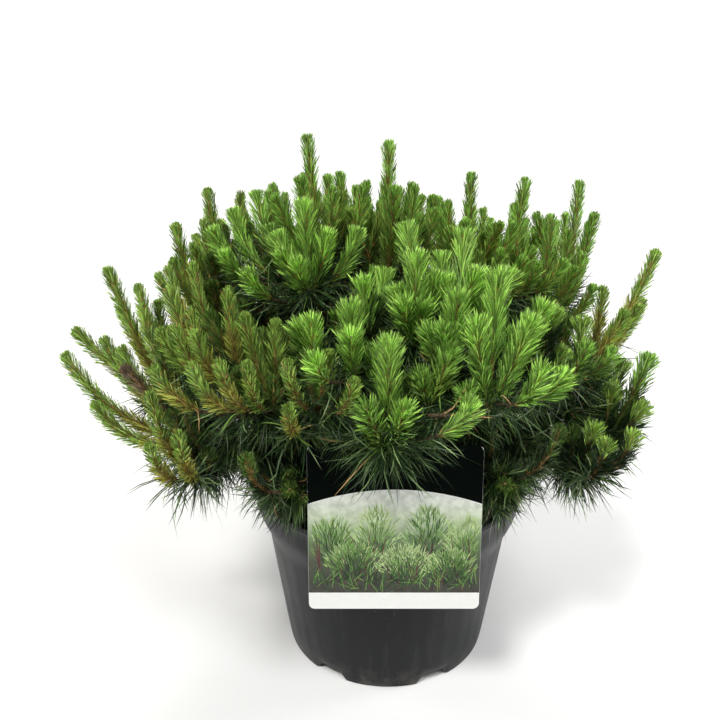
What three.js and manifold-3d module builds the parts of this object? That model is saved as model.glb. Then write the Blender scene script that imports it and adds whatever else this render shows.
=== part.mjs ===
// A mugo pine in its nursery pot. A short trunk stands on the soil, boughs sweep out and up from
// it, and each bough carries one mass: a stem that ends in a whorl of candle-like shoots, with
// side twigs that carry smaller whorls. Needles stand out of the shoots' slim cores.
// Lengths are in millimetres, angles in degrees. The origin is the middle of the pot's flat
// underside, +Z is up, and a bearing of 0 points along +X and one of 90 along +Y.
import * as THREE from "three";
import { mergeVertices } from "three/addons/utils/BufferGeometryUtils.js";
import Module from "manifold-3d";

const wasm = await Module();
wasm.setup();

// ---------------------------------------------------------------- driving dimensions

const GAP = 0.3; // clearance between neighbouring pieces
const UP = new THREE.Vector3(0, 0, 1);
const OFF_LINE = new THREE.Vector3(0.31, 0.95, 0.05); // a direction that no limb runs along

const POT = {
  height: 222,
  footRadius: 116,
  wallSlope: 0.135,
  wall: 2.5,
  collarStart: 150,
  collarEnd: 188,
  collarStep: 8,
  lip: 3.5,
  lipHeight: 7,
  lipTop: 9,
  floor: 5,
  padRadius: 99,
  feet: 6,
  footTurn: -94,
  footSteps: [0, 12, 20, 25, 35, 40, 50], // bearings cut round one foot, close where its notch slopes
  notchDepth: 10,
  notchHalf: 10, // half a notch's width at the floor in degrees, and how much of that is slope
  notchSlope: 5,
  bevel: 3,
  floorEdge: 6, // how far inside the pad the floor's flat ends, and where it has risen
  floorRise: 3,
  lowestWall: 16,
};

const SOIL_TOP = 200;

const LABEL = {
  width: 170,
  length: 174,
  thickness: 1,
  corner: 6,
  middle: 2.5,
  leanBack: 9,
  belowRim: 69,
  tongueWidth: 34,
  tongueDrop: 14,
  tongueInset: 5,
};

const TRUNK = {
  height: 158,
  foot: 21,
  top: 10,
  flare: 11,
  flareHeight: 15,
  lobes: 5,
  lobeDepth: 0.3,
  lean: 16,
  leanBearing: 150,
  leanPower: 1.5,
  rings: 8,
  ringPower: 1.6, // rings stand closer together towards the flare
  sides: 12,
};

const BOUGH = {
  base: 5.4,
  tip: 4,
  sides: 5,
  rings: 3,
  share: 0.48, // how much of the limb is bare bough before its mass takes over
  clearFrom: 0.12, // where along the limb it has left the trunk, and where its room first counts
  roomFrom: 0.07,
  lowest: 18, // first and last height above the soil at which a bough leaves the trunk
  highest: 148,
  floor: 9, // and the lowest that it may be moved to, in steps up and down
  step: 3.5,
  steps: 27,
  sweep: 0.68, // how far out the limb has come before it turns upward
  rise: 0.22, // how much of its climb it has made by then
  clear: 2.5,
};
const LIMB_STEPS = 12; // a limb's room is measured from points this many steps apart

// the boughs that pass over the card climb early, and the longest shoots curl up the most
const EARLY_RISE = { front_low: 0.95, left_tuft: 0.5, right_tuft: 0.5 };
const STRONG_CURL = { far_left: 2.4, right_arch: 1.5, right_low: 1 };

// the bearing that a whorl leans to, where that isn't straight out from the trunk
const FACING = { left_tuft: -95, right_tuft: -88, front_left: 0, right_mid: 170, upper_back: 200 };

const STEM = { radius: 4, key: 90 };
const SIDE_TWIG = {
  leaves: 0.4,
  apart: 0.2,
  length: 58,
  radius: 3,
  turn: 62,
  climb: 32,
  lowClimb: 6, // on masses whose whorl is no higher than lowMass
  lowMass: 320,
  curl: 0.3,
  clear: 6,
  key: 80,
  shoots: 2, // its own whorl: side shoots, their length beside the main whorl's, and a common lean
  shorter: 0.72,
  lean: 40,
};
const SHOOT = { radius: 3.4, fan: 27, curl: 0.55, clear: 12 };
const WHORL = {
  lengths: [0.62, 0.92], // side shoots beside the middle one
  spread: [0.75, 1.35], // their share of the fan
  wander: 60, // how far round the whorl each may stray
  turns: [0, 25, -25, 50, -50], // further turns tried until there is room
  middleTries: 12, // the middle shoot tries these tilts instead, a quarter turn apart
  middleTilt: 7,
  tiltStep: 4,
  sunk: 2, // how far below the stem's tip the middle shoot starts, and the side ones
  sideSunk: 3,
  sinkStep: 2.5,
};

// Needles stand round a twig in toothed rings, in which every other point stays short. A ring
// gives its place along the twig and its share of the reach; points lean forward and droop.
const RUFF = {
  points: 6,
  reach: 50,
  rings: [[0.26, 0.6], [0.82, 1], [1.1, 0.35]],
  short: 0.42,
  forward: 0.45,
  droop: 0.35,
  least: 4.5,
};
const CANDLE = {
  points: 4,
  reach: 14,
  long: 95, // a shoot longer than this has the ring that a short one goes without
  rings: [[0.2, 0.9], [0.47, 1], [0.72, 0.85]],
  short: 0.5,
  forward: 1.3,
  droop: 0,
  least: 4,
};
const NEEDLE = {
  potRoom: 4, // how far a needle keeps off the pot
  cardRoom: 25, // and behind the card, so that nothing reaches across its upper edge
  twigRoom: 2.5, // and off the middle line between two twigs
  uneven: [0.85, 1.15],
  shorter: [1, 0.8, 0.62, 0.46, 0.3], // lengths tried until there is room
  halfWidth: 15, // the room is tried this far round to either side as well
};

// One row a mass: the bearing, reach and height of its whorl, the length of its longest shoot, how
// far the whorl leans outward, how many shoots stand round the middle one, and its side twigs.
const MASSES = [
  ["far_left", -164, 212, 282, 190, 72, 3, 2],
  ["left_mid", -175, 240, 318, 158, 22, 3, 1],
  ["left_shoulder", 180, 200, 370, 138, 10, 4, 1],
  ["left_top", 161, 190, 405, 122, 10, 4, 1],
  ["left_inner", -149, 92, 448, 96, 6, 4, 1],
  ["left_low", -129, 180, 362, 114, 20, 5, 2],
  ["left_tuft", -125, 165, 276, 46, 76, 2, 1],
  ["front_low", -92, 168, 345, 114, 12, 5, 1],
  ["front_left", -104, 150, 402, 74, 8, 3, 1],
  ["front_right", -70, 150, 402, 86, 8, 3, 1],
  ["front_fan", -80, 110, 424, 88, 6, 4, 2],
  ["right_stem", -58, 168, 372, 132, 1, 3, 1],
  ["right_front", -34, 166, 370, 86, 16, 4, 1],
  ["right_mid", -20, 202, 326, 104, 2, 3, 1],
  ["right_low", -14, 236, 286, 108, 24, 4, 2],
  ["right_tuft", -50, 164, 276, 46, 76, 2, 1],
  ["right_arch", 5, 230, 346, 138, 34, 3, 1],
  ["right_top", 26, 232, 380, 146, 2, 3, 1],
  ["right_upper", 14, 176, 382, 122, 0, 3, 1],
  ["upper_right", 30, 156, 392, 142, 8, 4, 1],
  ["upper_centre", 36, 104, 408, 136, 2, 3, 1],
  ["upper_mid", 92, 43, 413, 168, 1, 5, 1],
  ["leader", 158, 79, 440, 150, 6, 4, 1],
  ["upper_back", 112, 140, 388, 124, 8, 4, 2],
  ["upper_left", 150, 138, 410, 112, 8, 3, 0],
  ["back_right", 60, 216, 312, 130, 22, 4, 2],
  ["back_mid", 93, 220, 298, 134, 24, 4, 2],
  ["back_left", 128, 216, 306, 130, 24, 4, 2],
].map(([name, bearing, reach, height, length, lean, shoots, sideTwigs]) => (
  { name, bearing, reach, height, length, lean, shoots, sideTwigs }
));

// ---------------------------------------------------------------- materials

const plain = (color, roughness) => (
  new THREE.MeshStandardMaterial({ color, roughness, metalness: 0, flatShading: true })
);
const MATERIAL = {
  pot: plain(0x2b2d30, 0.5),
  soil: plain(0x33281f, 0.95),
  label: plain(0x17261c, 0.35),
  bark: plain(0x5b4a3b, 0.9),
  needles: plain(0x5f8f32, 0.7),
};

// ---------------------------------------------------------------- small helpers

const radians = THREE.MathUtils.degToRad;
const lerp = THREE.MathUtils.lerp;
const range = (count) => Array.from({ length: count }, (_, index) => index);

// a repeatable number from 0 to 1 for each mass, twig and purpose
function chance(mass, twig, purpose) {
  const wave = Math.sin(mass * 127.1 + twig * 311.7 + purpose * 74.7) * 43758.5453;
  return wave - Math.floor(wave);
}

const bearingVector = (bearing) => (
  new THREE.Vector3(Math.cos(radians(bearing)), Math.sin(radians(bearing)), 0)
);

// a direction that leans away from upright, towards a bearing
function leaning(lean, bearing) {
  const level = bearingVector(bearing).multiplyScalar(Math.sin(radians(lean)));
  return level.addScaledVector(UP, Math.cos(radians(lean)));
}

function toSolid(geometry) {
  const bare = geometry.clone();
  bare.deleteAttribute("normal");
  bare.deleteAttribute("uv");
  const merged = mergeVertices(bare, 1e-4);
  return new wasm.Manifold(new wasm.Mesh({
    numProp: 3,
    vertProperties: new Float32Array(merged.getAttribute("position").array),
    triVerts: new Uint32Array(merged.getIndex().array),
  }));
}

// the outer skin of the largest body of a solid, so sealed hollows are filled and scraps dropped
function toGeometry(solid) {
  const { vertProperties, triVerts } = solid.getMesh();
  const home = range(vertProperties.length / 3);
  const root = (vertex) => {
    while (home[vertex] !== vertex) vertex = home[vertex];
    return vertex;
  };
  const corner = (index) => new THREE.Vector3().fromArray(vertProperties, triVerts[index] * 3);
  for (let face = 0; face < triVerts.length; face += 3) {
    home[root(triVerts[face + 1])] = root(triVerts[face]);
    home[root(triVerts[face + 2])] = root(triVerts[face]);
  }
  const bodies = new Map();
  for (let face = 0; face < triVerts.length; face += 3) {
    const key = root(triVerts[face]);
    const body = bodies.get(key) ?? { volume: 0, faces: [] };
    body.volume += corner(face).dot(corner(face + 1).cross(corner(face + 2))) / 6;
    body.faces.push(...triVerts.slice(face, face + 3));
    bodies.set(key, body);
  }
  const largest = [...bodies.values()].reduce((a, b) => (a.volume > b.volume ? a : b));
  const geometry = new THREE.BufferGeometry();
  geometry.setAttribute("position", new THREE.BufferAttribute(vertProperties, 3));
  geometry.setIndex(largest.faces);
  return geometry;
}

// ---------------------------------------------------------------- turned and lofted shapes

// Rings of points, each as long as the next, skinned into a closed body. A ring of one point
// closes an end.
function skin(rings) {
  const sides = Math.max(...rings.map((ring) => ring.length));
  const starts = [];
  const positions = [];
  for (const ring of rings) {
    starts.push(positions.length / 3);
    ring.forEach((point) => positions.push(point.x, point.y, point.z));
  }
  const index = [];
  const cap = (ring, flip) => {
    for (const side of range(sides - 2)) {
      const fan = [starts[ring], starts[ring] + side + 1, starts[ring] + side + 2];
      index.push(...(flip ? fan.reverse() : fan));
    }
  };
  for (const row of range(rings.length - 1)) {
    const [low, high] = [rings[row], rings[row + 1]];
    for (const side of range(sides)) {
      const next = (side + 1) % sides;
      const [a, b] = [starts[row] + side, starts[row] + next];
      const [c, d] = [starts[row + 1] + next, starts[row + 1] + side];
      if (low.length === 1) {
        index.push(starts[row], c, d);
      } else if (high.length === 1) {
        index.push(a, b, starts[row + 1]);
      } else {
        index.push(a, b, c, a, c, d);
      }
    }
  }
  if (rings[0].length > 1) cap(0, true);
  if (rings.at(-1).length > 1) cap(rings.length - 1, false);
  const geometry = new THREE.BufferGeometry();
  geometry.setAttribute("position", new THREE.Float32BufferAttribute(positions, 3));
  geometry.setIndex(index);
  return geometry;
}

// a profile of [radius, height] pairs from axis to axis, turned through the given bearings
function turned(profile, bearings) {
  const rings = profile.map(([radius, height]) => {
    if (radius === 0) return [new THREE.Vector3(0, 0, height)];
    return bearings.map((bearing) => {
      const z = typeof height === "function" ? height(bearing) : height;
      return bearingVector(bearing).multiplyScalar(radius).setZ(z);
    });
  });
  return skin(rings);
}

// rings round a curve, one at each share of its length
function ringsAlong(curve, shares, radiusAt, sides) {
  const axis = shares.map((share) => curve.getPoint(share));
  const along = shares.map((share) => curve.getTangent(share));
  let across = OFF_LINE.clone().cross(along[0]).normalize();
  return axis.map((centre, step) => {
    across = across.clone().addScaledVector(along[step], -across.dot(along[step])).normalize();
    const beside = along[step].clone().cross(across);
    return range(sides).map((side) => {
      const angle = side * 2 * Math.PI / sides;
      const out = across.clone().multiplyScalar(Math.cos(angle));
      out.addScaledVector(beside, Math.sin(angle));
      return centre.clone().addScaledVector(out, radiusAt(shares[step]));
    });
  });
}

// ---------------------------------------------------------------- pot, soil and label

const wallRadius = (height) => {
  const collar = THREE.MathUtils.smoothstep(height, POT.collarStart, POT.collarEnd);
  return POT.footRadius + POT.wallSlope * height + POT.collarStep * collar;
};

const footPitch = 360 / POT.feet;
const potBearings = range(POT.feet).flatMap((foot) => (
  POT.footSteps.map((step) => POT.footTurn + foot * footPitch + step)
));

// how far the wall's lower edge is lifted at a bearing, as a share of the notch's depth
function notchShare(bearing) {
  const fromFoot = THREE.MathUtils.euclideanModulo(bearing - POT.footTurn, footPitch);
  const fromNotch = Math.abs(fromFoot - footPitch / 2);
  return THREE.MathUtils.clamp((POT.notchHalf - fromNotch) / POT.notchSlope, 0, 1);
}

// the pot's inner wall, or with an inset the outside of the soil that fills it
const innerProfile = (inset) => [
  [POT.padRadius - POT.floorEdge, POT.floor + inset],
  [POT.padRadius - POT.floorRise, POT.notchDepth + POT.floor + inset],
  [wallRadius(POT.lowestWall) - POT.wall - inset, POT.notchDepth + POT.floor + inset],
  [wallRadius(POT.collarStart) - POT.wall - inset, POT.collarStart],
  [wallRadius(POT.collarEnd) - POT.wall - inset, POT.collarEnd],
];

function potGeometry() {
  const notch = (height, lift) => (bearing) => height + lift * notchShare(bearing);
  const rim = wallRadius(POT.height);
  return turned([
    [0, POT.floor],
    ...innerProfile(0),
    [rim - POT.wall, POT.height],
    [rim + POT.lip, POT.height],
    [rim + POT.lip, POT.height - POT.lipHeight],
    [rim, POT.height - POT.lipTop],
    [wallRadius(POT.collarEnd), POT.collarEnd],
    [wallRadius(POT.collarStart), POT.collarStart],
    [POT.footRadius, notch(POT.bevel, POT.notchDepth)],
    [POT.footRadius - POT.bevel, notch(0, POT.notchDepth)],
    [POT.padRadius + 0.5, notch(0, POT.notchDepth)],
    [POT.padRadius, 0],
    [0, 0],
  ].reverse(), potBearings);
}

function soilGeometry() {
  const top = wallRadius(SOIL_TOP) - POT.wall - GAP;
  return turned([
    [0, POT.floor + GAP],
    ...innerProfile(GAP),
    [top, SOIL_TOP],
    [0, SOIL_TOP],
  ], potBearings);
}

// the card's face as a rounded rectangle, its lower edge at y = 0
function cardShape() {
  const [half, top, corner] = [LABEL.width / 2, LABEL.length, LABEL.corner];
  const shape = new THREE.Shape();
  shape.absarc(half - corner, corner, corner, -Math.PI / 2, 0);
  shape.absarc(half - corner, top - corner, corner, 0, Math.PI / 2);
  shape.absarc(corner - half, top - corner, corner, Math.PI / 2, Math.PI);
  shape.absarc(corner - half, corner, corner, Math.PI, 1.5 * Math.PI);
  return shape;
}

// how far in front of the axis the card's back is at a height
const cardBack = (height) => (
  -wallRadius(POT.height) - POT.lip - GAP + (height - POT.height) * Math.tan(radians(LABEL.leanBack))
);

// a card that leans on the pot's lip, with a tongue at its back that hooks over the rim
function labelGeometry() {
  const lowest = POT.height - LABEL.belowRim;
  const card = new THREE.ExtrudeGeometry(cardShape(), {
    depth: LABEL.thickness, bevelEnabled: false, curveSegments: 4,
  });
  card.rotateX(radians(90 - LABEL.leanBack));
  card.translate(LABEL.middle, cardBack(lowest), lowest);
  const over = POT.height + GAP;
  const front = cardBack(over) - LABEL.thickness / 2;
  const back = -wallRadius(POT.height) + POT.wall + LABEL.tongueInset;
  const side = new THREE.Shape([
    new THREE.Vector2(front, over),
    new THREE.Vector2(back, over),
    new THREE.Vector2(back, over - LABEL.tongueDrop),
    new THREE.Vector2(back + LABEL.thickness, over - LABEL.tongueDrop),
    new THREE.Vector2(back + LABEL.thickness, over + LABEL.thickness),
    new THREE.Vector2(front, over + LABEL.thickness),
  ]);
  const tongue = new THREE.ExtrudeGeometry(side, { depth: LABEL.tongueWidth, bevelEnabled: false });
  tongue.applyMatrix4(new THREE.Matrix4().makeBasis(
    new THREE.Vector3(0, 1, 0), UP, new THREE.Vector3(1, 0, 0),
  ));
  tongue.translate(LABEL.middle - LABEL.tongueWidth / 2, 0, 0);
  return toGeometry(toSolid(card).add(toSolid(tongue)));
}

// ---------------------------------------------------------------- trunk

const trunkFoot = SOIL_TOP + GAP;

function trunkAxis(height) {
  const share = THREE.MathUtils.clamp(height / TRUNK.height, 0, 1);
  const out = TRUNK.lean * share ** TRUNK.leanPower;
  const level = bearingVector(TRUNK.leanBearing).multiplyScalar(out);
  return level.setZ(trunkFoot + height);
}

function trunkRadius(height, bearing) {
  const lobe = 1 + TRUNK.lobeDepth * Math.cos(radians(TRUNK.lobes * bearing));
  const flare = TRUNK.flare * Math.exp(-height / TRUNK.flareHeight) * lobe;
  return lerp(TRUNK.foot, TRUNK.top, height / TRUNK.height) + flare;
}

// the trunk, or with an extra radius the room that its neighbours leave it
function trunkGeometry(extra) {
  const rings = range(TRUNK.rings + 1).map((ring) => {
    const height = TRUNK.height * (ring / TRUNK.rings) ** TRUNK.ringPower;
    const grown = ring === TRUNK.rings ? extra : 0;
    return range(TRUNK.sides).map((side) => {
      const bearing = side * 360 / TRUNK.sides;
      const out = bearingVector(bearing).multiplyScalar(trunkRadius(height, bearing) + extra);
      return trunkAxis(height).add(out).addScaledVector(UP, grown);
    });
  });
  return skin(rings);
}

// ---------------------------------------------------------------- the plan of limbs and twigs

// the shortest distance from a point to a limb's skin, taken along its sampled axis
function distanceTo(point, limb) {
  let nearest = Infinity;
  const line = new THREE.Line3();
  const foot = new THREE.Vector3();
  for (const step of range(limb.path.length - 1)) {
    line.set(limb.path[step], limb.path[step + 1]).closestPointToPoint(point, true, foot);
    nearest = Math.min(nearest, foot.distanceTo(point));
  }
  return nearest - limb.radius;
}

const roomBetween = (limb, others) => (
  Math.min(Infinity, ...limb.path.flatMap((point) => (
    others.map((other) => distanceTo(point, other) - limb.radius)
  )))
);

// a limb or twig of one node, with its axis sampled from one share of the curve to another
function planLimb(node, kind, curve, radius, from = 0, to = 1) {
  const shares = range(LIMB_STEPS + 1).map((step) => lerp(from, to, step / LIMB_STEPS));
  const path = shares.map((share) => curve.getPoint(share));
  return { node, kind, curve, radius, from, to, path };
}

function limbCurve(mass, attach) {
  const start = trunkAxis(attach);
  const end = bearingVector(mass.bearing).multiplyScalar(mass.reach).setZ(mass.height);
  const bend = start.clone().lerp(end, BOUGH.sweep);
  bend.setZ(lerp(start.z, end.z, EARLY_RISE[mass.name] ?? BOUGH.rise));
  return new THREE.QuadraticBezierCurve3(start, bend, end);
}

// Low masses leave the trunk low and high ones high, each moved along the trunk as far as its
// bough needs to pass the boughs before it.
function planBoughs() {
  const order = MASSES.map((mass, number) => ({ ...mass, number }));
  order.sort((a, b) => (a.height - a.reach) - (b.height - b.reach));
  const planned = [];
  order.forEach((mass, rank) => {
    const wanted = lerp(BOUGH.lowest, BOUGH.highest, rank / (order.length - 1));
    const choices = range(BOUGH.steps).map((number) => {
      const shift = (number % 2 ? 1 : -1) * Math.ceil(number / 2) * BOUGH.step;
      const attach = THREE.MathUtils.clamp(wanted + shift, BOUGH.floor, TRUNK.height);
      const curve = limbCurve(mass, attach);
      const node = `bough_${mass.name}`;
      const bough = planLimb(node, "bough", curve, BOUGH.base, BOUGH.clearFrom, BOUGH.share);
      const limb = planLimb(mass.name, "limb", curve, BOUGH.base, BOUGH.roomFrom, 1);
      return { mass, bough, limb, room: roomBetween(limb, planned.map((other) => other.limb)) };
    });
    const best = choices.find((choice) => choice.room > BOUGH.clear);
    planned.push(best ?? choices.reduce((a, b) => (a.room > b.room ? a : b)));
  });
  return planned;
}

// a curve that starts one way and curls up
function curlingCurve(start, direction, length, curl) {
  const middle = start.clone().addScaledVector(direction, length / 2);
  const onward = direction.clone().addScaledVector(UP, curl).normalize();
  const end = middle.clone().addScaledVector(onward, length / 2);
  return new THREE.QuadraticBezierCurve3(start, middle, end);
}

// the tilts and turns that a whorl's shoot tries in order; number 0 is the middle shoot
function shootTries(mass, whorl, key, number) {
  if (number === 0) {
    const tilts = range(WHORL.middleTries).map((step) => (
      [WHORL.middleTilt + WHORL.tiltStep * Math.floor(step / 4), 90 * step]
    ));
    return [[0, 0], ...tilts];
  }
  const round = number * 360 / whorl.shoots + WHORL.wander * chance(mass.number, key, 2);
  const fan = SHOOT.fan * lerp(...WHORL.spread, chance(mass.number, key, 3));
  return WHORL.turns.map((turn) => [fan, round + turn]);
}

// The shoots of one whorl: the longest in the middle, the rest fanned round it. Each may turn a
// little to find its room, and a side shoot that finds none is left out.
function planWhorl(mass, place, whorl, taken) {
  const axis = leaning(whorl.lean, whorl.bearing);
  const aside = axis.clone().cross(leaning(90 + whorl.lean, whorl.bearing)).normalize();
  const shoots = [];
  for (const number of range(whorl.shoots + 1)) {
    const key = place * 10 + number;
    const share = number ? lerp(...WHORL.lengths, chance(mass.number, key, 1)) : 1;
    const length = whorl.length * share;
    const sunk = number ? WHORL.sideSunk + WHORL.sinkStep * number : WHORL.sunk;
    const start = whorl.node.clone().addScaledVector(axis, -sunk);
    const curl = STRONG_CURL[mass.name] ?? SHOOT.curl;
    const shootsTried = shootTries(mass, whorl, key, number).map(([tilt, turn]) => {
      const direction = axis.clone().applyAxisAngle(aside, radians(tilt));
      direction.applyAxisAngle(axis, radians(turn));
      const curve = curlingCurve(start, direction, length, curl);
      const shoot = planLimb(`mass_${mass.name}`, "shoot", curve, SHOOT.radius);
      return { ...shoot, length, key, room: roomBetween(shoot, taken) };
    });
    const found = shootsTried.find((shoot) => shoot.room > SHOOT.clear);
    if (found) shoots.push(found);
    else if (number === 0) shoots.push(shootsTried.reduce((a, b) => (a.room > b.room ? a : b)));
  }
  return shoots;
}

// every limb, stem, twig and shoot of the plant
function planPlant() {
  const planned = planBoughs();
  const boughs = planned.map(({ bough }) => bough);
  const twigs = planned.map(({ mass, bough }) => {
    const stem = planLimb(`mass_${mass.name}`, "stem", bough.curve, STEM.radius, BOUGH.share, 1);
    return { ...stem, key: STEM.key };
  });
  const others = (node) => [...boughs, ...twigs].filter((limb) => limb.node !== node);
  for (const { mass, bough } of planned) {
    const bearing = FACING[mass.name] ?? mass.bearing;
    const whorl = { ...mass, bearing, node: bough.curve.getPoint(1) };
    twigs.push(...planWhorl(mass, 0, whorl, others(`mass_${mass.name}`)));
  }
  for (const { mass, bough } of planned) {
    for (const number of range(mass.sideTwigs)) {
      const hand = (number + mass.number) % 2 ? 1 : -1;
      const from = lerp(BOUGH.share, 1, SIDE_TWIG.leaves + SIDE_TWIG.apart * number);
      const bearing = mass.bearing + hand * SIDE_TWIG.turn;
      const climb = mass.height > SIDE_TWIG.lowMass ? SIDE_TWIG.climb : SIDE_TWIG.lowClimb;
      const direction = leaning(90 - climb, bearing);
      const start = bough.curve.getPoint(from);
      const curve = curlingCurve(start, direction, SIDE_TWIG.length, SIDE_TWIG.curl);
      const twig = planLimb(`mass_${mass.name}`, "twig", curve, SIDE_TWIG.radius);
      if (roomBetween(twig, others(twig.node)) < SIDE_TWIG.clear) continue;
      twigs.push({ ...twig, key: SIDE_TWIG.key + number });
      const whorl = {
        node: curve.getPoint(1),
        bearing,
        lean: (mass.lean + SIDE_TWIG.lean) / 2,
        shoots: SIDE_TWIG.shoots,
        length: mass.length * SIDE_TWIG.shorter,
      };
      twigs.push(...planWhorl(mass, number + 1, whorl, others(twig.node)));
    }
  }
  return { boughs, twigs };
}

const { boughs, twigs } = planPlant();
const trunkLine = {
  node: "trunk",
  radius: TRUNK.foot,
  path: range(5).map((step) => trunkAxis(TRUNK.height * step / 4)),
};
const limbs = [trunkLine, ...boughs, ...twigs];

// ---------------------------------------------------------------- boughs and needled masses

// whether a point keeps off the pot, and off the card and the space before it
function clearOfPot(point) {
  const outerRim = wallRadius(POT.height) + POT.lip;
  const overPot = Math.hypot(point.x, point.y) < outerRim + NEEDLE.potRoom;
  if (overPot && point.z < POT.height + NEEDLE.potRoom) return false;
  const beside = Math.abs(point.x - LABEL.middle) > LABEL.width / 2 + NEEDLE.potRoom;
  const lowest = POT.height - LABEL.belowRim - NEEDLE.potRoom;
  const highest = lowest + LABEL.length + NEEDLE.potRoom;
  const level = point.z > lowest && point.z < highest;
  return beside || !level || point.y > cardBack(point.z) + NEEDLE.cardRoom;
}

// a needle keeps to the places that lie nearer to its own twig than to any of the others
function hasRoom(root, tip, twig, others) {
  return [0.25, 0.5, 0.75, 1].every((share) => {
    const point = root.clone().lerp(tip, share);
    const own = distanceTo(point, twig) + NEEDLE.twigRoom;
    return clearOfPot(point) && others.every((other) => distanceTo(point, other) > own);
  });
}

// one ring of points round a twig, each as long as the room round it allows
function toothedRing(twig, form, row, others) {
  const [place, size] = form.rings[row];
  const share = lerp(twig.from, twig.to, Math.min(1, place));
  const middle = twig.curve.getPoint(share);
  const along = twig.curve.getTangent(share);
  const beyond = Math.max(0, place - 1) * form.reach;
  const centre = middle.clone().addScaledVector(along, beyond);
  return ringsAlong(twig.curve, [share], () => 1, form.points)[0].map((point, side) => {
    const out = point.sub(middle);
    const tooth = (side + row) % 2 ? form.short : 1;
    const jitter = lerp(...NEEDLE.uneven, chance(twig.key + 1, row, side));
    const reachOut = (length, turn) => {
      const ray = out.clone().applyAxisAngle(along, radians(turn));
      ray.addScaledVector(along, form.forward).addScaledVector(UP, -form.droop);
      return centre.clone().addScaledVector(ray, length);
    };
    const wish = form.reach * size * tooth * jitter;
    const reach = NEEDLE.shorter.map((part) => part * wish).find((length) => (
      [-NEEDLE.halfWidth, 0, NEEDLE.halfWidth].every((turn) => (
        hasRoom(centre, reachOut(length, turn), twig, others)
      ))
    )) ?? 0;
    return reachOut(Math.max(reach, form.least), 0);
  });
}

// a shoot: a slim pointed core with rings of needles
function shootGeometry(shoot) {
  const others = limbs.filter((limb) => limb.path !== shoot.path);
  const foot = ringsAlong(shoot.curve, [0], () => shoot.radius, CANDLE.points)[0];
  const used = CANDLE.rings.slice(shoot.length > CANDLE.long ? 0 : 1);
  const rings = used.map((ring, row) => (
    toothedRing(shoot, { ...CANDLE, rings: used }, row, others)
  ));
  return skin([foot, ...rings, [shoot.curve.getPoint(1)]]);
}

// a stem or side twig in its ruff of old needles, cut off square where it meets its bough
function ruffGeometry(twig) {
  const others = limbs.filter((limb) => limb.node !== twig.node);
  const start = twig.from + (twig.kind === "stem" ? GAP / twig.curve.getLength() : 0);
  const foot = ringsAlong(twig.curve, [start], () => twig.radius, RUFF.points)[0];
  return skin([foot, ...RUFF.rings.map((ring, row) => toothedRing(twig, RUFF, row, others))]);
}

function boughGeometry(bough, trunkRoom) {
  const shares = range(BOUGH.rings + 1).map((ring) => BOUGH.share * ring / BOUGH.rings);
  const radiusAt = (share) => lerp(BOUGH.base, BOUGH.tip, share / BOUGH.share);
  const limb = toSolid(skin(ringsAlong(bough.curve, shares, radiusAt, BOUGH.sides)));
  return toGeometry(limb.subtract(trunkRoom));
}

function massGeometry(own) {
  const solids = own.map((twig) => (
    toSolid(twig.kind === "shoot" ? shootGeometry(twig) : ruffGeometry(twig))
  ));
  return toGeometry(solids.reduce((whole, solid) => whole.add(solid)));
}

// ---------------------------------------------------------------- the assembly

const group = new THREE.Group();

function addPart(name, geometry, material) {
  const mesh = new THREE.Mesh(geometry, material);
  mesh.name = name;
  group.add(mesh);
}

const trunkRoom = toSolid(trunkGeometry(GAP));

addPart("pot", potGeometry(), MATERIAL.pot);
addPart("soil", soilGeometry(), MATERIAL.soil);
addPart("label", labelGeometry(), MATERIAL.label);
addPart("trunk", trunkGeometry(0), MATERIAL.bark);
for (const bough of boughs) addPart(bough.node, boughGeometry(bough, trunkRoom), MATERIAL.bark);
for (const { name } of MASSES) {
  const node = `mass_${name}`;
  addPart(node, massGeometry(twigs.filter((twig) => twig.node === node)), MATERIAL.needles);
}

export default group;
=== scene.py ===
"""A mugo pine in its nursery pot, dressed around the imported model.

The limbs, twigs and whorls of shoots are planned by the same rule and the same named sizes as the
solids. From them grow finer shoots, needles, buds and bark. Plans are in millimetres and degrees
in the row frame, and meshes are in metres.
"""

import math
from types import SimpleNamespace as Facts

import bpy
import numpy as np
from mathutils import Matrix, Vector


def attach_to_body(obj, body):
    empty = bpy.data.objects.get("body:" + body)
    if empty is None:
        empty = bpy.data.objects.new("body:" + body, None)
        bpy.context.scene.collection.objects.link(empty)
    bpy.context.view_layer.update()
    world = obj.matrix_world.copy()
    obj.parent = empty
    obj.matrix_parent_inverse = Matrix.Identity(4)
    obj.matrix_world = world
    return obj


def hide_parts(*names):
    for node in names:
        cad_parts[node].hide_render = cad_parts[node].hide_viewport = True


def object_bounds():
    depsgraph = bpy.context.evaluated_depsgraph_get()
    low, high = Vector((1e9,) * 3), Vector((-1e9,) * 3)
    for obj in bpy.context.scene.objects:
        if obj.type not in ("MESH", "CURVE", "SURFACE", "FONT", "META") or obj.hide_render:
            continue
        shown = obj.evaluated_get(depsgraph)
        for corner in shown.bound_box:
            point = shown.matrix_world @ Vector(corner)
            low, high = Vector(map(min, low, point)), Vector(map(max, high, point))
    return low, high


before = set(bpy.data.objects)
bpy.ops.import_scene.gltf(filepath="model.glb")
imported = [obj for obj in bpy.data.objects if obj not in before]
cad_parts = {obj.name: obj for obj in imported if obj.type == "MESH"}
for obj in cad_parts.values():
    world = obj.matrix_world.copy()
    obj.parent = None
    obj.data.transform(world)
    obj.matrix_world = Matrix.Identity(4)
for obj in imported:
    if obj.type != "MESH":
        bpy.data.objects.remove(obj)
cad_low, cad_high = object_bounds()

MM = 0.001
UP = np.array([0.0, 0.0, 1.0])
OFF_LINE = np.array([0.31, 0.95, 0.05])
GAP = 0.3
GOLDEN_TURN = 2.399963

# ------------------------------------------------------------------ the source's named sizes

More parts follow.
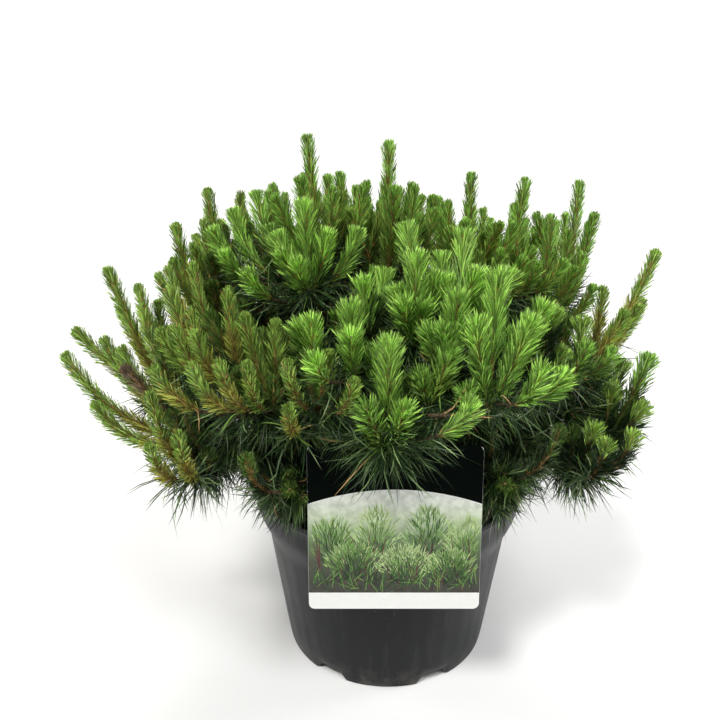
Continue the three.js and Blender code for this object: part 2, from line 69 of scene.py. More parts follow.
POT = Facts(height=222, foot=116, slope=0.135, wall=2.5, collar_start=150, collar_end=188,
            collar_step=8, lip=3.5, pad=99, feet=6, foot_turn=-94, notch_depth=10, notch_half=10,
            notch_slope=5)
SOIL_TOP = 200
LABEL = Facts(width=170, length=174, thickness=1, corner=6, middle=2.5, lean=9, below_rim=69,
              tongue_width=34, tongue_drop=14, tongue_inset=5)
TRUNK = Facts(height=158, foot=21, top=10, flare=11, flare_height=15, lobes=5, lobe_depth=0.3,
              lean=16, bearing=150, lean_power=1.5)
BOUGH = Facts(base=5.4, tip=4, share=0.48, clear_from=0.12, room_from=0.07, lowest=18, highest=148,
              floor=9, step=3.5, steps=27, sweep=0.68, rise=0.22, clear=2.5)
EARLY_RISE = {"front_low": 0.95, "left_tuft": 0.5, "right_tuft": 0.5}
STRONG_CURL = {"far_left": 2.4, "right_arch": 1.5, "right_low": 1}
FACING = {"left_tuft": -95, "right_tuft": -88, "front_left": 0, "right_mid": 170,
          "upper_back": 200}
STEM_RADIUS = 4
SIDE_TWIG = Facts(leaves=0.4, apart=0.2, length=58, radius=3, turn=62, climb=32, low_climb=6,
                  low_mass=320, curl=0.3, clear=6, shoots=2, shorter=0.72, lean=40)
SHOOT = Facts(radius=3.4, fan=27, curl=0.55, clear=12)
WHORL = Facts(lengths=(0.62, 0.92), spread=(0.75, 1.35), wander=60, turns=(0, 25, -25, 50, -50),
              middle_tries=12, middle_tilt=7, tilt_step=4, sunk=2, side_sunk=3, sink_step=2.5)
LIMB_STEPS = 12

MASS_KEYS = ("name", "bearing", "reach", "height", "length", "lean", "shoots", "side_twigs",
             "look")
MASSES = [
    ("far_left", -164, 212, 282, 190, 72, 3, 2, "arch"),
    ("left_mid", -175, 240, 318, 158, 22, 3, 1, "arch"),
    ("left_shoulder", 180, 200, 370, 138, 10, 4, 1, "left"),
    ("left_top", 161, 190, 405, 122, 10, 4, 1, "left"),
    ("left_inner", -149, 92, 448, 96, 6, 4, 1, "inner"),
    ("left_low", -129, 180, 362, 114, 20, 5, 2, "left"),
    ("left_tuft", -125, 165, 276, 46, 76, 2, 1, "tuft"),
    ("front_low", -92, 168, 345, 114, 12, 5, 1, "front"),
    ("front_left", -104, 150, 402, 74, 8, 3, 1, "front"),
    ("front_right", -70, 150, 402, 86, 8, 3, 1, "front"),
    ("front_fan", -80, 110, 424, 88, 6, 4, 2, "front"),
    ("right_stem", -58, 168, 372, 132, 1, 3, 1, "front"),
    ("right_front", -34, 166, 370, 86, 16, 4, 1, "right"),
    ("right_mid", -20, 202, 326, 104, 2, 3, 1, "right"),
    ("right_low", -14, 236, 286, 108, 24, 4, 2, "right"),
    ("right_tuft", -50, 164, 276, 46, 76, 2, 1, "tuft"),
    ("right_arch", 5, 230, 346, 138, 34, 3, 1, "arch"),
    ("right_top", 26, 232, 380, 146, 2, 3, 1, "upper"),
    ("right_upper", 14, 176, 382, 122, 0, 3, 1, "upper"),
    ("upper_right", 30, 156, 392, 142, 8, 4, 1, "upper"),
    ("upper_centre", 36, 104, 408, 136, 2, 3, 1, "upper"),
    ("upper_mid", 92, 43, 413, 168, 1, 5, 1, "upper"),
    ("leader", 158, 79, 440, 150, 6, 4, 1, "upper"),
    ("upper_back", 112, 140, 388, 124, 8, 4, 2, "upper"),
    ("upper_left", 150, 138, 410, 112, 8, 3, 0, "upper"),
    ("back_right", 60, 216, 312, 130, 22, 4, 2, "right"),
    ("back_mid", 93, 220, 298, 134, 24, 4, 2, "right"),
    ("back_left", 128, 216, 306, 130, 24, 4, 2, "right"),
]

# ------------------------------------------------------------------ the look's own sizes

# A look gives a shoot its needles: their length, their angle at its foot and tip, how many stand
# on a centimetre, its stem's radius, how far its brush is rounded (below 0 it is flat), the
# colours of its lower and upper sprays, and how far from others a finer shoot or one that fills
# an empty place may stand.
# a lower spray's darker colour (dim on the right and the tufts) is partly painted shade, and an
# upper spray's brighter one partly painted light
LOOK_KEYS = ("length", "foot", "tip", "per_cm", "stem", "dome", "low", "top", "apart", "space")
LOOKS = {name: Facts(**dict(zip(LOOK_KEYS, row))) for name, *row in [
    ("front", 27, 22, 30, 42, 2.3, -1, "fresh", "bright", 19, 29),
    ("inner", 23, 24, 28, 42, 2.5, -0.4, "fresh", "bright", 19, 28),
    ("right", 24, 23, 29, 40, 2.3, -0.6, "dim", "fresh", 23, 36),
    ("upper", 18, 28, 21, 43, 2.9, 1.6, "mid", "fresh", 14, 19),
    ("left", 17, 29, 21, 45, 3.0, 1.6, "olive", "mid", 14, 19),
    ("arch", 17, 32, 23, 45, 3.0, 1.6, "olive", "mid", 16, 22),
    ("tuft", 15, 30, 34, 38, 1.8, 0, "dim", "mid", 26, 36),
]}

# base colours as the eye sees them, from 0 to 255; dim and deep are darker tones that paint the
# shade of hidden shoots and of old needles inside the crown
NEEDLE_COLOURS = {
    "bright": (164, 214, 98), "fresh": (144, 194, 86), "mid": (146, 186, 84),
    "dim": (92, 126, 56), "deep": (38, 62, 31), "olive": (172, 186, 88), "old": (108, 136, 88),
    "tan": (184, 152, 100), "dead": (126, 114, 94), "sheath": (192, 152, 92),
}
# the painted-shade tones and the old needles' colour shine less
SHADED_COLOURS = ("dim", "deep", "old")


def chance(mass, twig, purpose):
    """The source's own number from 0 to 1 for one choice."""
    wave = math.sin(mass * 127.1 + twig * 311.7 + purpose * 74.7) * 43758.5453
    return wave - math.floor(wave)


def lerp(a, b, share):
    return a + (b - a) * share


def smoothstep(value, low, high):
    share = np.clip((value - low) / (high - low), 0, 1)
    return share * share * (3 - 2 * share)


def unit(vectors):
    return vectors / np.linalg.norm(vectors, axis=-1, keepdims=True)


def bearing_vector(bearing):
    angle = math.radians(bearing)
    return np.array([math.cos(angle), math.sin(angle), 0.0])


def leaning(lean, bearing):
    angle = math.radians(lean)
    return bearing_vector(bearing) * math.sin(angle) + UP * math.cos(angle)


def rotated(vector, axis, degrees):
    angle = math.radians(degrees)
    turned = np.cross(axis, vector) * math.sin(angle)
    along = axis * np.dot(axis, vector) * (1 - math.cos(angle))
    return vector * math.cos(angle) + turned + along


def curve_point(ctrl, share):
    t = np.asarray(share, float)[..., None]
    return (1 - t) ** 2 * ctrl[0] + 2 * (1 - t) * t * ctrl[1] + t * t * ctrl[2]


def curve_tangent(ctrl, share):
    t = np.asarray(share, float)[..., None]
    return unit((1 - t) * (ctrl[1] - ctrl[0]) + t * (ctrl[2] - ctrl[1]))


def curve_length(ctrl):
    points = curve_point(ctrl, np.linspace(0, 1, 33))
    return float(np.linalg.norm(np.diff(points, axis=0), axis=1).sum())


# ------------------------------------------------------------------ the plan of limbs and twigs

def trunk_axis(height):
    share = min(max(height / TRUNK.height, 0), 1)
    out = TRUNK.lean * share ** TRUNK.lean_power
    point = bearing_vector(TRUNK.bearing) * out
    point[2] = SOIL_TOP + GAP + height
    return point


def plan_limb(node, kind, ctrl, radius, start=0.0, end=1.0, bare=0, **facts):
    shares = start + (end - start) * np.arange(LIMB_STEPS + 1) / LIMB_STEPS
    return Facts(node=node, kind=kind, ctrl=ctrl, radius=radius, start=start, end=end, bare=bare,
                 path=curve_point(ctrl, shares), **facts)


def mass_limb(mass, kind, ctrl, radius, *ends, **facts):
    return plan_limb("mass_" + mass.name, kind, ctrl, radius, *ends, mass=mass, **facts)


def distances(points, limbs):
    """How far each point is from the skin of the nearest limb."""
    first = np.concatenate([limb.path[:-1] for limb in limbs])
    along = np.concatenate([limb.path[1:] for limb in limbs]) - first
    radii = np.repeat([float(limb.radius) for limb in limbs], LIMB_STEPS)
    steps = np.einsum("psk,sk->ps", points[:, None] - first[None], along)
    shares = np.clip(steps / np.einsum("sk,sk->s", along, along), 0, 1)
    feet = first[None] + shares[..., None] * along[None]
    return (np.linalg.norm(points[:, None] - feet, axis=2) - radii).min(axis=1)


def room_between(limb, others):
    if not others:
        return math.inf
    return float(distances(limb.path, others).min()) - limb.radius


def limb_curve(mass, attach):
    start = trunk_axis(attach)
    end = bearing_vector(mass.bearing) * mass.reach
    end[2] = mass.height
    bend = lerp(start, end, BOUGH.sweep)
    bend[2] = lerp(start[2], end[2], EARLY_RISE.get(mass.name, BOUGH.rise))
    return np.array([start, bend, end])


def plan_boughs():
    order = [Facts(**dict(zip(MASS_KEYS, row)), number=number)
             for number, row in enumerate(MASSES)]
    order.sort(key=lambda mass: mass.height - mass.reach)
    planned = []
    for rank, mass in enumerate(order):
        wanted = lerp(BOUGH.lowest, BOUGH.highest, rank / (len(order) - 1))
        taken = [other.limb for other in planned]
        best = None
        for number in range(BOUGH.steps):
            shift = (1 if number % 2 else -1) * math.ceil(number / 2) * BOUGH.step
            attach = min(max(wanted + shift, BOUGH.floor), TRUNK.height)
            ctrl = limb_curve(mass, attach)
            bough = plan_limb("bough_" + mass.name, "bough", ctrl, BOUGH.base, BOUGH.clear_from,
                              BOUGH.share)
            limb = plan_limb(mass.name, "limb", ctrl, BOUGH.base, BOUGH.room_from)
            room = room_between(limb, taken)
            enough = room > BOUGH.clear
            if best is None or enough or room > best.room:
                best = Facts(mass=mass, bough=bough, limb=limb, room=room)
            if enough:
                break
        planned.append(best)
    return planned


def curling_curve(start, direction, length, curl):
    middle = start + direction * length / 2
    onward = unit(direction + UP * curl)
    return np.array([start, middle, middle + onward * length / 2])


def shoot_tries(mass, whorl, key, number):
    if number == 0:
        return [(0, 0)] + [(WHORL.middle_tilt + WHORL.tilt_step * (step // 4), 90 * step)
                           for step in range(WHORL.middle_tries)]
    turn = number * 360 / whorl.shoots + WHORL.wander * chance(mass.number, key, 2)
    fan = SHOOT.fan * lerp(*WHORL.spread, chance(mass.number, key, 3))
    return [(fan, turn + extra) for extra in WHORL.turns]


def plan_whorl(mass, place, whorl, taken):
    axis = leaning(whorl.lean, whorl.bearing)
    aside = unit(np.cross(axis, leaning(90 + whorl.lean, whorl.bearing)))
    shoots = []
    for number in range(whorl.shoots + 1):
        key = place * 10 + number
        share = lerp(*WHORL.lengths, chance(mass.number, key, 1)) if number else 1
        length = whorl.length * share
        sunk = WHORL.side_sunk + WHORL.sink_step * number if number else WHORL.sunk
        start = whorl.node - axis * sunk
        curl = STRONG_CURL.get(mass.name, SHOOT.curl)
        best = None
        for tilt, turn in shoot_tries(mass, whorl, key, number):
            direction = rotated(rotated(axis, aside, tilt), axis, turn)
            ctrl = curling_curve(start, direction, length, curl)
            shoot = mass_limb(mass, "shoot", ctrl, SHOOT.radius, length=length, key=key,
                              number=number)
            room = room_between(shoot, taken)
            clear = room > SHOOT.clear
            if clear or number == 0 and (best is None or room > best[0]):
                best = (room, shoot)
            if clear:
                break
        if best:
            shoots.append(best[1])
    return shoots


def plan_plant():
    planned = plan_boughs()
    boughs = [item.bough for item in planned]
    twigs = [mass_limb(item.mass, "stem", item.bough.ctrl, STEM_RADIUS, BOUGH.share)
             for item in planned]

    def others(node):
        return [limb for limb in boughs + twigs if limb.node != node]

    for item in planned:
        mass = item.mass
        whorl = Facts(node=item.bough.ctrl[2], bearing=FACING.get(mass.name, mass.bearing),
                      shoots=mass.shoots, lean=mass.lean, length=mass.length)
        twigs.extend(plan_whorl(mass, 0, whorl, others("mass_" + mass.name)))
    for item in planned:
        mass = item.mass
        for number in range(mass.side_twigs):
            hand = 1 if (number + mass.number) % 2 else -1
            share = lerp(BOUGH.share, 1, SIDE_TWIG.leaves + SIDE_TWIG.apart * number)
            bearing = mass.bearing + hand * SIDE_TWIG.turn
            high = mass.height > SIDE_TWIG.low_mass
            climb = SIDE_TWIG.climb if high else SIDE_TWIG.low_climb
            start = curve_point(item.bough.ctrl, share)
            ctrl = curling_curve(start, leaning(90 - climb, bearing), SIDE_TWIG.length,
                                 SIDE_TWIG.curl)
            twig = mass_limb(mass, "twig", ctrl, SIDE_TWIG.radius)
            if room_between(twig, others(twig.node)) < SIDE_TWIG.clear:
                continue
            twigs.append(twig)
            whorl = Facts(node=ctrl[2], bearing=bearing, shoots=SIDE_TWIG.shoots,
                          lean=(mass.lean + SIDE_TWIG.lean) / 2,
                          length=mass.length * SIDE_TWIG.shorter)
            twigs.extend(plan_whorl(mass, number + 1, whorl, others(twig.node)))
    return twigs


twigs = plan_plant()

# ------------------------------------------------------------------ finer shoots

# short shoots round the whorls and along the stems: how many, how they lean, how long they are,
# how clear of others and of the pot they grow, and how near to a planned shoot they end
FINE = Facts(whorl=3, whorl_fan=(0.9, 1.6), whorl_length=(0.46, 0.78), shortest=28, sunk=(2, 14),
             per_stem=4, per_twig=2, places=(0.38, 0.96), rise=0.5, length=(46, 84),
             tilt=(24, 56), curl=1.1, radius=2.2, free_from=0.25, clear=4.5, off_pot=12, near=36,
             tries=5, try_turn=97)
# shoots for the crown's empty places: how many places are tried, how far apart they stand, how
# near to a planned shoot they stay, how the crown's ceiling falls off round each tip, and the
# lengths and climb of the thin twigs that bear them
FILL = Facts(tries=16000, space=19, near=58, slope=0.44, below=25, lowest=255, host_from=0.1,
             host_points=14, length=(56, 150), climb=0.55, candle=(62, 108), candle_rise=0.95,
             least_bare=0.03, clear=2.5, off_pot=10, free_from=0.3, sweep=0.84, rise=0.16)
# the long arching shoots at both sides stand alone beyond these, and higher up beyond the others
FINE_REACH = -230, 234
HIGH_REACH, HIGH = (-222, 212), 350
# one stem at the front right is bare at its foot, with nothing before it
BARE_STEM = Facts(x=(72, 112), before=-135, z=(335, 440))
# and nothing grows before the card: how far to its sides, before what y, how high over the pot,
# and how much of its length counts as height
CARD_SPACE = Facts(beside=14, before=-125, over=150, upright=0.99)
# the pot's inside may hold growth this far over the soil and in from the lip
POT_ROOM = Facts(over=6, inward=16)


def in_bounds(point):
    """Whether growth at this point stays inside the crown and off the front of the card."""
    x, y, z = point
    inside = np.all(point > np.array(cad_low) / MM) and np.all(point < np.array(cad_high) / MM)
    before_card = (abs(x - LABEL.middle) < LABEL.width / 2 + CARD_SPACE.beside
                   and y < CARD_SPACE.before and z < POT.height + CARD_SPACE.over)
    low, high = HIGH_REACH if z > HIGH else FINE_REACH
    before_stem = (BARE_STEM.x[0] < x < BARE_STEM.x[1] and y < BARE_STEM.before
                   and BARE_STEM.z[0] < z < BARE_STEM.z[1])
    return inside and low < x < high and not before_card and not before_stem


def card_back(height):
    lean = math.tan(math.radians(LABEL.lean))
    rim = POT.foot + POT.slope * POT.height + POT.collar_step
    return -rim - POT.lip - GAP + (height - POT.height) * lean


def clear_of_pot(paths, room):
    """Whether each path of points keeps off the pot, its soil and the card."""
    x, y, z = paths[..., 0], paths[..., 1], paths[..., 2]
    out = np.hypot(x, y)
    rim = POT.foot + POT.slope * POT.height + POT.collar_step + POT.lip
    below = (z < POT.height + room) & (out < rim + room)
    inside = (z > SOIL_TOP + POT_ROOM.over) & (out < rim - POT_ROOM.inward)
    low = POT.height - LABEL.below_rim
    high = low + LABEL.length * CARD_SPACE.upright
    across = np.abs(x - LABEL.middle) < LABEL.width / 2 + room
    across &= (z > low - room) & (z < high + room)
    depth = y - card_back(z)
    near_card = across & (depth > -LABEL.thickness - room) & (depth < room)
    crosses = across.any(axis=1) & (depth.min(axis=1) < 0) & (depth.max(axis=1) > 0)
    return ~((below & ~inside).any(axis=1) | near_card.any(axis=1) | crosses)


def grow_shoot(mass, start, direction, length, taken):
    """A short shoot, or None where it has no room or leaves the crown."""
    ctrl = curling_curve(start, direction, length, FINE.curl)
    shoot = mass_limb(mass, "fine", ctrl, FINE.radius, FINE.free_from, length=length, number=1)
    tip = ctrl[2][None]
    fits = (distances(tip, taken)[0] >= LOOKS[mass.look].apart
            and room_between(shoot, taken) >= FINE.clear
            and distances(tip, shoots_planned)[0] < FINE.near
            and in_bounds(tip[0]) and clear_of_pot(tip[None], FINE.off_pot)[0])
    return shoot if fits else None


def grow_fine(rng, fine):
    """Short shoots round every whorl and along every stem and side twig."""

    def add(parent, origin, axis, fan, length):
        across = unit(np.cross(axis, OFF_LINE))
        turn = rng.uniform(0, 360)
        for attempt in range(FINE.tries):
            way = rotated(rotated(axis, across, fan), axis, turn + FINE.try_turn * attempt)
            shoot = grow_shoot(parent.mass, origin, unit(way), length, shoots_planned + fine)
            if shoot:
                fine.append(shoot)
                return

    for shoot in [item for item in shoots_planned if item.number == 0]:
        axis = curve_tangent(shoot.ctrl, 0.0)
        for _ in range(FINE.whorl):
            fan = SHOOT.fan * rng.uniform(*FINE.whorl_fan)
            length = max(FINE.shortest, shoot.length * rng.uniform(*FINE.whorl_length))
            add(shoot, shoot.ctrl[0] - axis * rng.uniform(*FINE.sunk), axis, fan, length)
    for parent in [item for item in twigs if item.kind in ("stem", "twig")]:
        count = FINE.per_stem if parent.kind == "stem" else FINE.per_twig
        for number in range(count):
            place = lerp(*FINE.places, (number + rng.uniform(0, 1)) / count)
            share = lerp(parent.start, parent.end, place)
            origin = curve_point(parent.ctrl, share)
            axis = unit(curve_tangent(parent.ctrl, share) + UP * FINE.rise)
            add(parent, origin, axis, rng.uniform(*FINE.tilt), rng.uniform(*FINE.length))
    return fine


def fill_crown(rng):
    """Shoots for the crown's empty places, each on a thin twig from the nearest stem."""
    fine = []
    tips = np.array([shoot.ctrl[2] for shoot in shoots_planned])
    bearers = [twig for twig in twigs if twig.kind != "shoot"]
    hosts = []
    for twig in bearers:
        start = lerp(twig.start, twig.end, FILL.host_from)
        hosts.extend(curve_point(twig.ctrl, np.linspace(start, 1, FILL.host_points)))
    hosts = np.array(hosts)
    places = rng.uniform(tips.min(axis=0), tips.max(axis=0), (FILL.tries, 3))
    places[:, 2] = rng.uniform(FILL.lowest, tips[:, 2].max(), FILL.tries)
    level = np.linalg.norm(places[:, None, :2] - tips[None, :, :2], axis=2)
    ceiling = (tips[None, :, 2] - FILL.slope * level).max(axis=1) - FILL.below
    depth = ceiling - places[:, 2]
    order = np.argsort(depth)
    for place, deep in zip(places[order], depth[order]):
        if deep < 0 or distances(place[None], shoots_planned)[0] > FILL.near:
            continue
        free = distances(place[None], shoots_planned + fine)[0]
        ways = place - hosts
        lengths = np.linalg.norm(ways, axis=1)
        fits = (lengths > FILL.length[0]) & (lengths < FILL.length[1])
        fits &= ways[:, 2] > FILL.climb * lengths
        if free < FILL.space or not fits.any():
            continue
        pick = int(np.argmin(np.where(fits, lengths, math.inf)))
        host, mass = hosts[pick], bearers[pick // FILL.host_points].mass
        if free < LOOKS[mass.look].space:
            continue
        middle = lerp(host, place, FILL.sweep)
        middle[2] = lerp(host[2], place[2], FILL.rise)
        ctrl = np.array([host, middle, place])
        length = curve_length(ctrl)
        candle = min(rng.uniform(*FILL.candle), FILL.candle_rise * (place[2] - host[2]))
        shoot = mass_limb(mass, "fine", ctrl, FINE.radius, FILL.free_from, length=length, number=1,
                          bare=max(FILL.least_bare, 1 - candle / length))
        clear = room_between(shoot, shoots_planned + fine) >= FILL.clear
        if clear and in_bounds(place) and clear_of_pot(shoot.path[None], FILL.off_pot)[0]:
            fine.append(shoot)
    return fine


LOW_MASSES = ("far_left", "left_low", "left_tuft", "front_low", "right_low", "right_mid",
              "right_tuft", "right_front", "left_mid")
# bare twigs that hang low with only old needles: the mass, the place along its limb, the tip;
# their curves bend at this share of the way, this far over the straight line
HANGING = [
    ("left_low", 0.62, (-156, -112, 281)),
    ("left_low", 0.8, (-168, -128, 312)),
    ("left_tuft", 0.55, (-134, -126, 270)),
    ("left_tuft", 0.7, (-110, -142, 252)),
    ("right_tuft", 0.6, (118, -128, 262)),
    ("right_tuft", 0.75, (104, -142, 252)),
    ("right_front", 0.55, (136, -104, 302)),
    ("right_front", 0.7, (150, -96, 274)),
    ("right_low", 0.6, (186, -60, 266)),
    ("right_mid", 0.7, (168, -84, 292)),
    ("front_low", 0.8, (-52, -150, 336)),
]
HANGING_MIDDLE, HANGING_BOW = 0.55, 12
# and shorter ones that stand off the low limbs at all angles
SPRIGS = Facts(count=6, share=(0.42, 0.96), turn=75, climb=(-6, 42), length=(26, 48), curl=0.2,
               off_pot=8)
# a few dry needles lie to the right of the low front whorl
TAN_SPRIG = (30, -176, 374), (62, -186, 380)
# the one dead shoot stands by the far left whorl, bare for most of its length
DEAD = Facts(name="far_left", bare=0.62,
             points=((-204, -60, 300), (-230, -104, 346), (-259, -110, 393)))
# three slender shoots stand between the far left arches and the crown, bare up to this share
CANDLE_BARE = 0.2
LEFT_CANDLES = [
    ("far_left", ((-190, -72, 312), (-238, -80, 366), (-246, -60, 440))),
    ("left_mid", ((-196, -36, 336), (-212, -30, 384), (-238, -20, 460))),
    ("left_mid", ((-204, -50, 322), (-240, -52, 376), (-254, -40, 454))),
]


def placed_limb(name, kind, points, **facts):
    ctrl = np.array(points, float)
    return mass_limb(stems[name].mass, kind, ctrl, FINE.radius, length=curve_length(ctrl),
                     number=1, **facts)


def grow_hanging(rng):
    """Twigs that bear only old needles."""
    start, tip = np.array(TAN_SPRIG, float)
    hanging = [placed_limb("front_low", "tan", (start, (start + tip) / 2, tip))]
    for name, share, tip in HANGING:
        start = curve_point(stems[name].ctrl, share)
        middle = lerp(start, np.array(tip, float), HANGING_MIDDLE) + UP * HANGING_BOW
        hanging.append(placed_limb(name, "old", (start, middle, tip)))
    for stem in [stems[name] for name in LOW_MASSES]:
        for _ in range(SPRIGS.count):
            start = curve_point(stem.ctrl, rng.uniform(*SPRIGS.share))
            bearing = stem.mass.bearing + rng.uniform(-SPRIGS.turn, SPRIGS.turn)
            way = leaning(90 - rng.uniform(*SPRIGS.climb), bearing)
            length = rng.uniform(*SPRIGS.length)
            ctrl = curling_curve(start, way, length, SPRIGS.curl)
            sprig = mass_limb(stem.mass, "sprig", ctrl, FINE.radius, length=length)
            if clear_of_pot(sprig.path[None], SPRIGS.off_pot)[0]:
                hanging.append(sprig)
    return hanging


stems = {twig.mass.name: twig for twig in twigs if twig.kind == "stem"}
shoots_planned = [twig for twig in twigs if twig.kind == "shoot"]
fine_rng = np.random.default_rng(11)
fine_shoots = grow_fine(fine_rng, fill_crown(fine_rng))
fine_shoots += [placed_limb(name, "fine", points, bare=CANDLE_BARE)
                for name, points in LEFT_CANDLES]
hanging_twigs = grow_hanging(fine_rng)
dead_shoot = placed_limb(DEAD.name, "fine", DEAD.points, bare=DEAD.bare)

# ------------------------------------------------------------------ mesh helpers

LATTICE = Facts(axes=np.array([73856093, 19349663, 83492791]), seed=2654435, shift=13,
                scramble=1274126177, whole=0x7FFFFFFF)


def add_piece(name, parts, materials, replaces=(), smooth=True, slots=None):
    """A piece of (vertices, faces) pairs, in millimetres, that rides on the one body."""
    starts = np.cumsum([0] + [len(part[0]) for part in parts[:-1]])
    vertices = np.concatenate([part[0] for part in parts]) * MM
    faces = np.concatenate([part[1] + start for part, start in zip(parts, starts)])
    mesh = bpy.data.meshes.new(name)
    mesh.vertices.add(len(vertices))
    mesh.vertices.foreach_set("co", vertices.astype(np.float32).ravel())
    mesh.loops.add(faces.size)
    mesh.loops.foreach_set("vertex_index", faces.astype(np.int32).ravel())
    mesh.polygons.add(len(faces))
    mesh.polygons.foreach_set("loop_start",
                              np.arange(0, faces.size, faces.shape[1], dtype=np.int32))
    mesh.polygons.foreach_set("use_smooth", np.full(len(faces), smooth))
    for material in materials:
        mesh.materials.append(material)
    if slots is not None:
        mesh.polygons.foreach_set("material_index", slots.astype(np.int32))
    mesh.update(calc_edges=True)
    piece = bpy.data.objects.new(name, mesh)
    bpy.context.scene.collection.objects.link(piece)
    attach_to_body(piece, "root")
    if replaces:
        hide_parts(*replaces)


def lattice_noise(points, seed):
    """Smooth noise from -1 to 1 on a lattice of unit cells."""
    cell = np.floor(points).astype(np.int64)
    part = smoothstep(points - cell, 0, 1)
    total = np.zeros(len(points))
    for corner in range(8):
        bits = np.array([corner & 1, corner >> 1 & 1, corner >> 2 & 1])
        mix = np.bitwise_xor.reduce((cell + bits) * LATTICE.axes, axis=1)
        mix = mix + seed * LATTICE.seed
        mix = (mix ^ mix >> LATTICE.shift) * LATTICE.scramble & LATTICE.whole
        weight = np.prod(np.where(bits, part, 1 - part), axis=1)
        total += weight * (mix / (LATTICE.whole // 2) - 1)
    return total


def skin(rings, ends):
    """A closed body of triangles over rings of points, with a point in the middle of each end."""
    sides = len(rings[0])
    last = (len(rings) - 1) * sides
    first = np.arange(sides)
    after = (first + 1) % sides
    corners = []
    for low in range(0, last, sides):
        high = low + sides
        corners += [(low + first, low + after, high + after),
                    (low + first, high + after, high + first)]
    middle = np.full(sides, last + sides)
    corners += [(middle, after, first), (middle + 1, last + first, last + after)]
    faces = np.concatenate([np.stack(corner, axis=1) for corner in corners])
    return np.concatenate([*rings, ends]), faces


def tube(points, radii, sides, relief=None):
    """A closed tube with pointed ends and an optional relief added to each radius."""
    directions = unit(np.gradient(points, axis=0))
    across = unit(np.cross(OFF_LINE, directions[0]))
    angles = np.arange(sides)[:, None] * 2 * math.pi / sides
    rings = []
    for centre, direction, radius in zip(points, directions, radii):
        across = unit(across - direction * np.dot(across, direction))
        out = np.cos(angles) * across + np.sin(angles) * np.cross(direction, across)
        added = relief(centre + out * radius, radius)[:, None] if relief else 0
        rings.append(centre + out * (radius + added))
    return skin(rings, points[[0, -1]])


def lathe(profile, bearings):
    """A closed body turned from (radius, height) rings; both may be arrays over the bearings."""
    out = np.radians(bearings)
    rings = [np.stack(np.broadcast_arrays(radius * np.cos(out), radius * np.sin(out), height),
                      axis=1) for radius, height in profile]
    return skin(rings, [rings[0].mean(axis=0), rings[-1].mean(axis=0)])


# ------------------------------------------------------------------ materials

# The scales of noise and cells are counts to a metre, tones are shares of a base colour, and
# spread() takes a value's low and high ends to a start and an end.
# bark: its colour, its flakes' colour, the scale of its noise, and how dark its cracks are
BARKS = {"bark": ((104, 84, 66), (150, 128, 104), 120.0, 0.8),
         "stem_bark": ((182, 144, 92), (214, 178, 112), 420.0, 0.3),
         "bud_skin": ((166, 160, 102), (206, 176, 132), 700.0, 0.3)}


def linear(colour):
    """A colour as the eye sees it, from 0 to 255, as the light it sends."""
    share = np.array(colour, float) / 255
    light = np.where(share <= 0.04045, share / 12.92, ((share + 0.055) / 1.055) ** 2.4)
    return tuple(float(value) for value in light)


def shade(colour, factor):
    return tuple(min(1.0, value * factor) for value in colour)


class Shader:
    """One material, with short calls for the nodes it is made of."""

    def __init__(self, name, colour, roughness, specular):
        self.material = bpy.data.materials.new(name)
        self.material.use_nodes = True
        self.tree = self.material.node_tree
        self.surface = self.tree.nodes["Principled BSDF"].inputs
        self.surface["Base Color"].default_value = (*colour, 1)
        self.surface["Roughness"].default_value = roughness
        self.surface["Specular IOR Level"].default_value = specular
        self.place = self.node("ShaderNodeTexCoord").outputs["Object"]

    def node(self, kind, inputs=(), **settings):
        made = self.tree.nodes.new(kind)
        for key, value in settings.items():
            setattr(made, key, value)
        for key, value in dict(inputs).items():
            self.give(made.inputs[key], value)
        return made

    def give(self, socket, value):
        if isinstance(value, bpy.types.NodeSocket):
            self.tree.links.new(value, socket)
        else:
            socket.default_value = value

    def height(self):
        return self.node("ShaderNodeSeparateXYZ", {"Vector": self.place}).outputs["Z"]

    def stretched(self, scale):
        inputs = {"Vector": self.place, "Scale": (1, 1, scale)}
        return self.node("ShaderNodeMapping", inputs).outputs["Vector"]

    def noise(self, scale, detail=3.0, roughness=0.55, place=None):
        inputs = {"Vector": place or self.place, "Scale": scale, "Detail": detail,
                  "Roughness": roughness}
        return self.node("ShaderNodeTexNoise", inputs).outputs["Fac"]

    def cells(self, scale, feature="F1"):
        inputs = {"Vector": self.place, "Scale": scale}
        return self.node("ShaderNodeTexVoronoi", inputs, feature=feature).outputs["Distance"]

    def spread(self, value, low, high, start=0.0, end=1.0):
        inputs = {"Value": value, "From Min": low, "From Max": high, "To Min": start,
                  "To Max": end}
        return self.node("ShaderNodeMapRange", inputs).outputs["Result"]

    def mixed(self, share, first, second):
        made = self.node("ShaderNodeMix", {0: share}, data_type="RGBA")
        for socket, colour in ((6, first), (7, second)):
            self.give(made.inputs[socket], (*colour, 1) if isinstance(colour, tuple) else colour)
        return made.outputs[2]

    def shaded(self, share, base, dark, light):
        """The base colour from a darker to a lighter share of itself."""
        return self.mixed(share, shade(base, dark), shade(base, light))

    def maths(self, operation, first, second):
        return self.node("ShaderNodeMath", {0: first, 1: second}, operation=operation).outputs[0]

    def times(self, first, second):
        return self.maths("MULTIPLY", first, second)

    def plus(self, first, second):
        return self.maths("ADD", first, second)

    def finish(self, tone, rough=None, height=None, strength=0.0, distance=0.0):
        """The material, with its tone and, where given, its roughness and relief."""
        self.give(self.surface["Base Color"], tone)
        if rough:
            self.give(self.surface["Roughness"], rough)
        if height:
            inputs = {"Height": height, "Strength": strength, "Distance": distance}
            self.give(self.surface["Normal"], self.node("ShaderNodeBump", inputs).outputs[0])
        return self.material


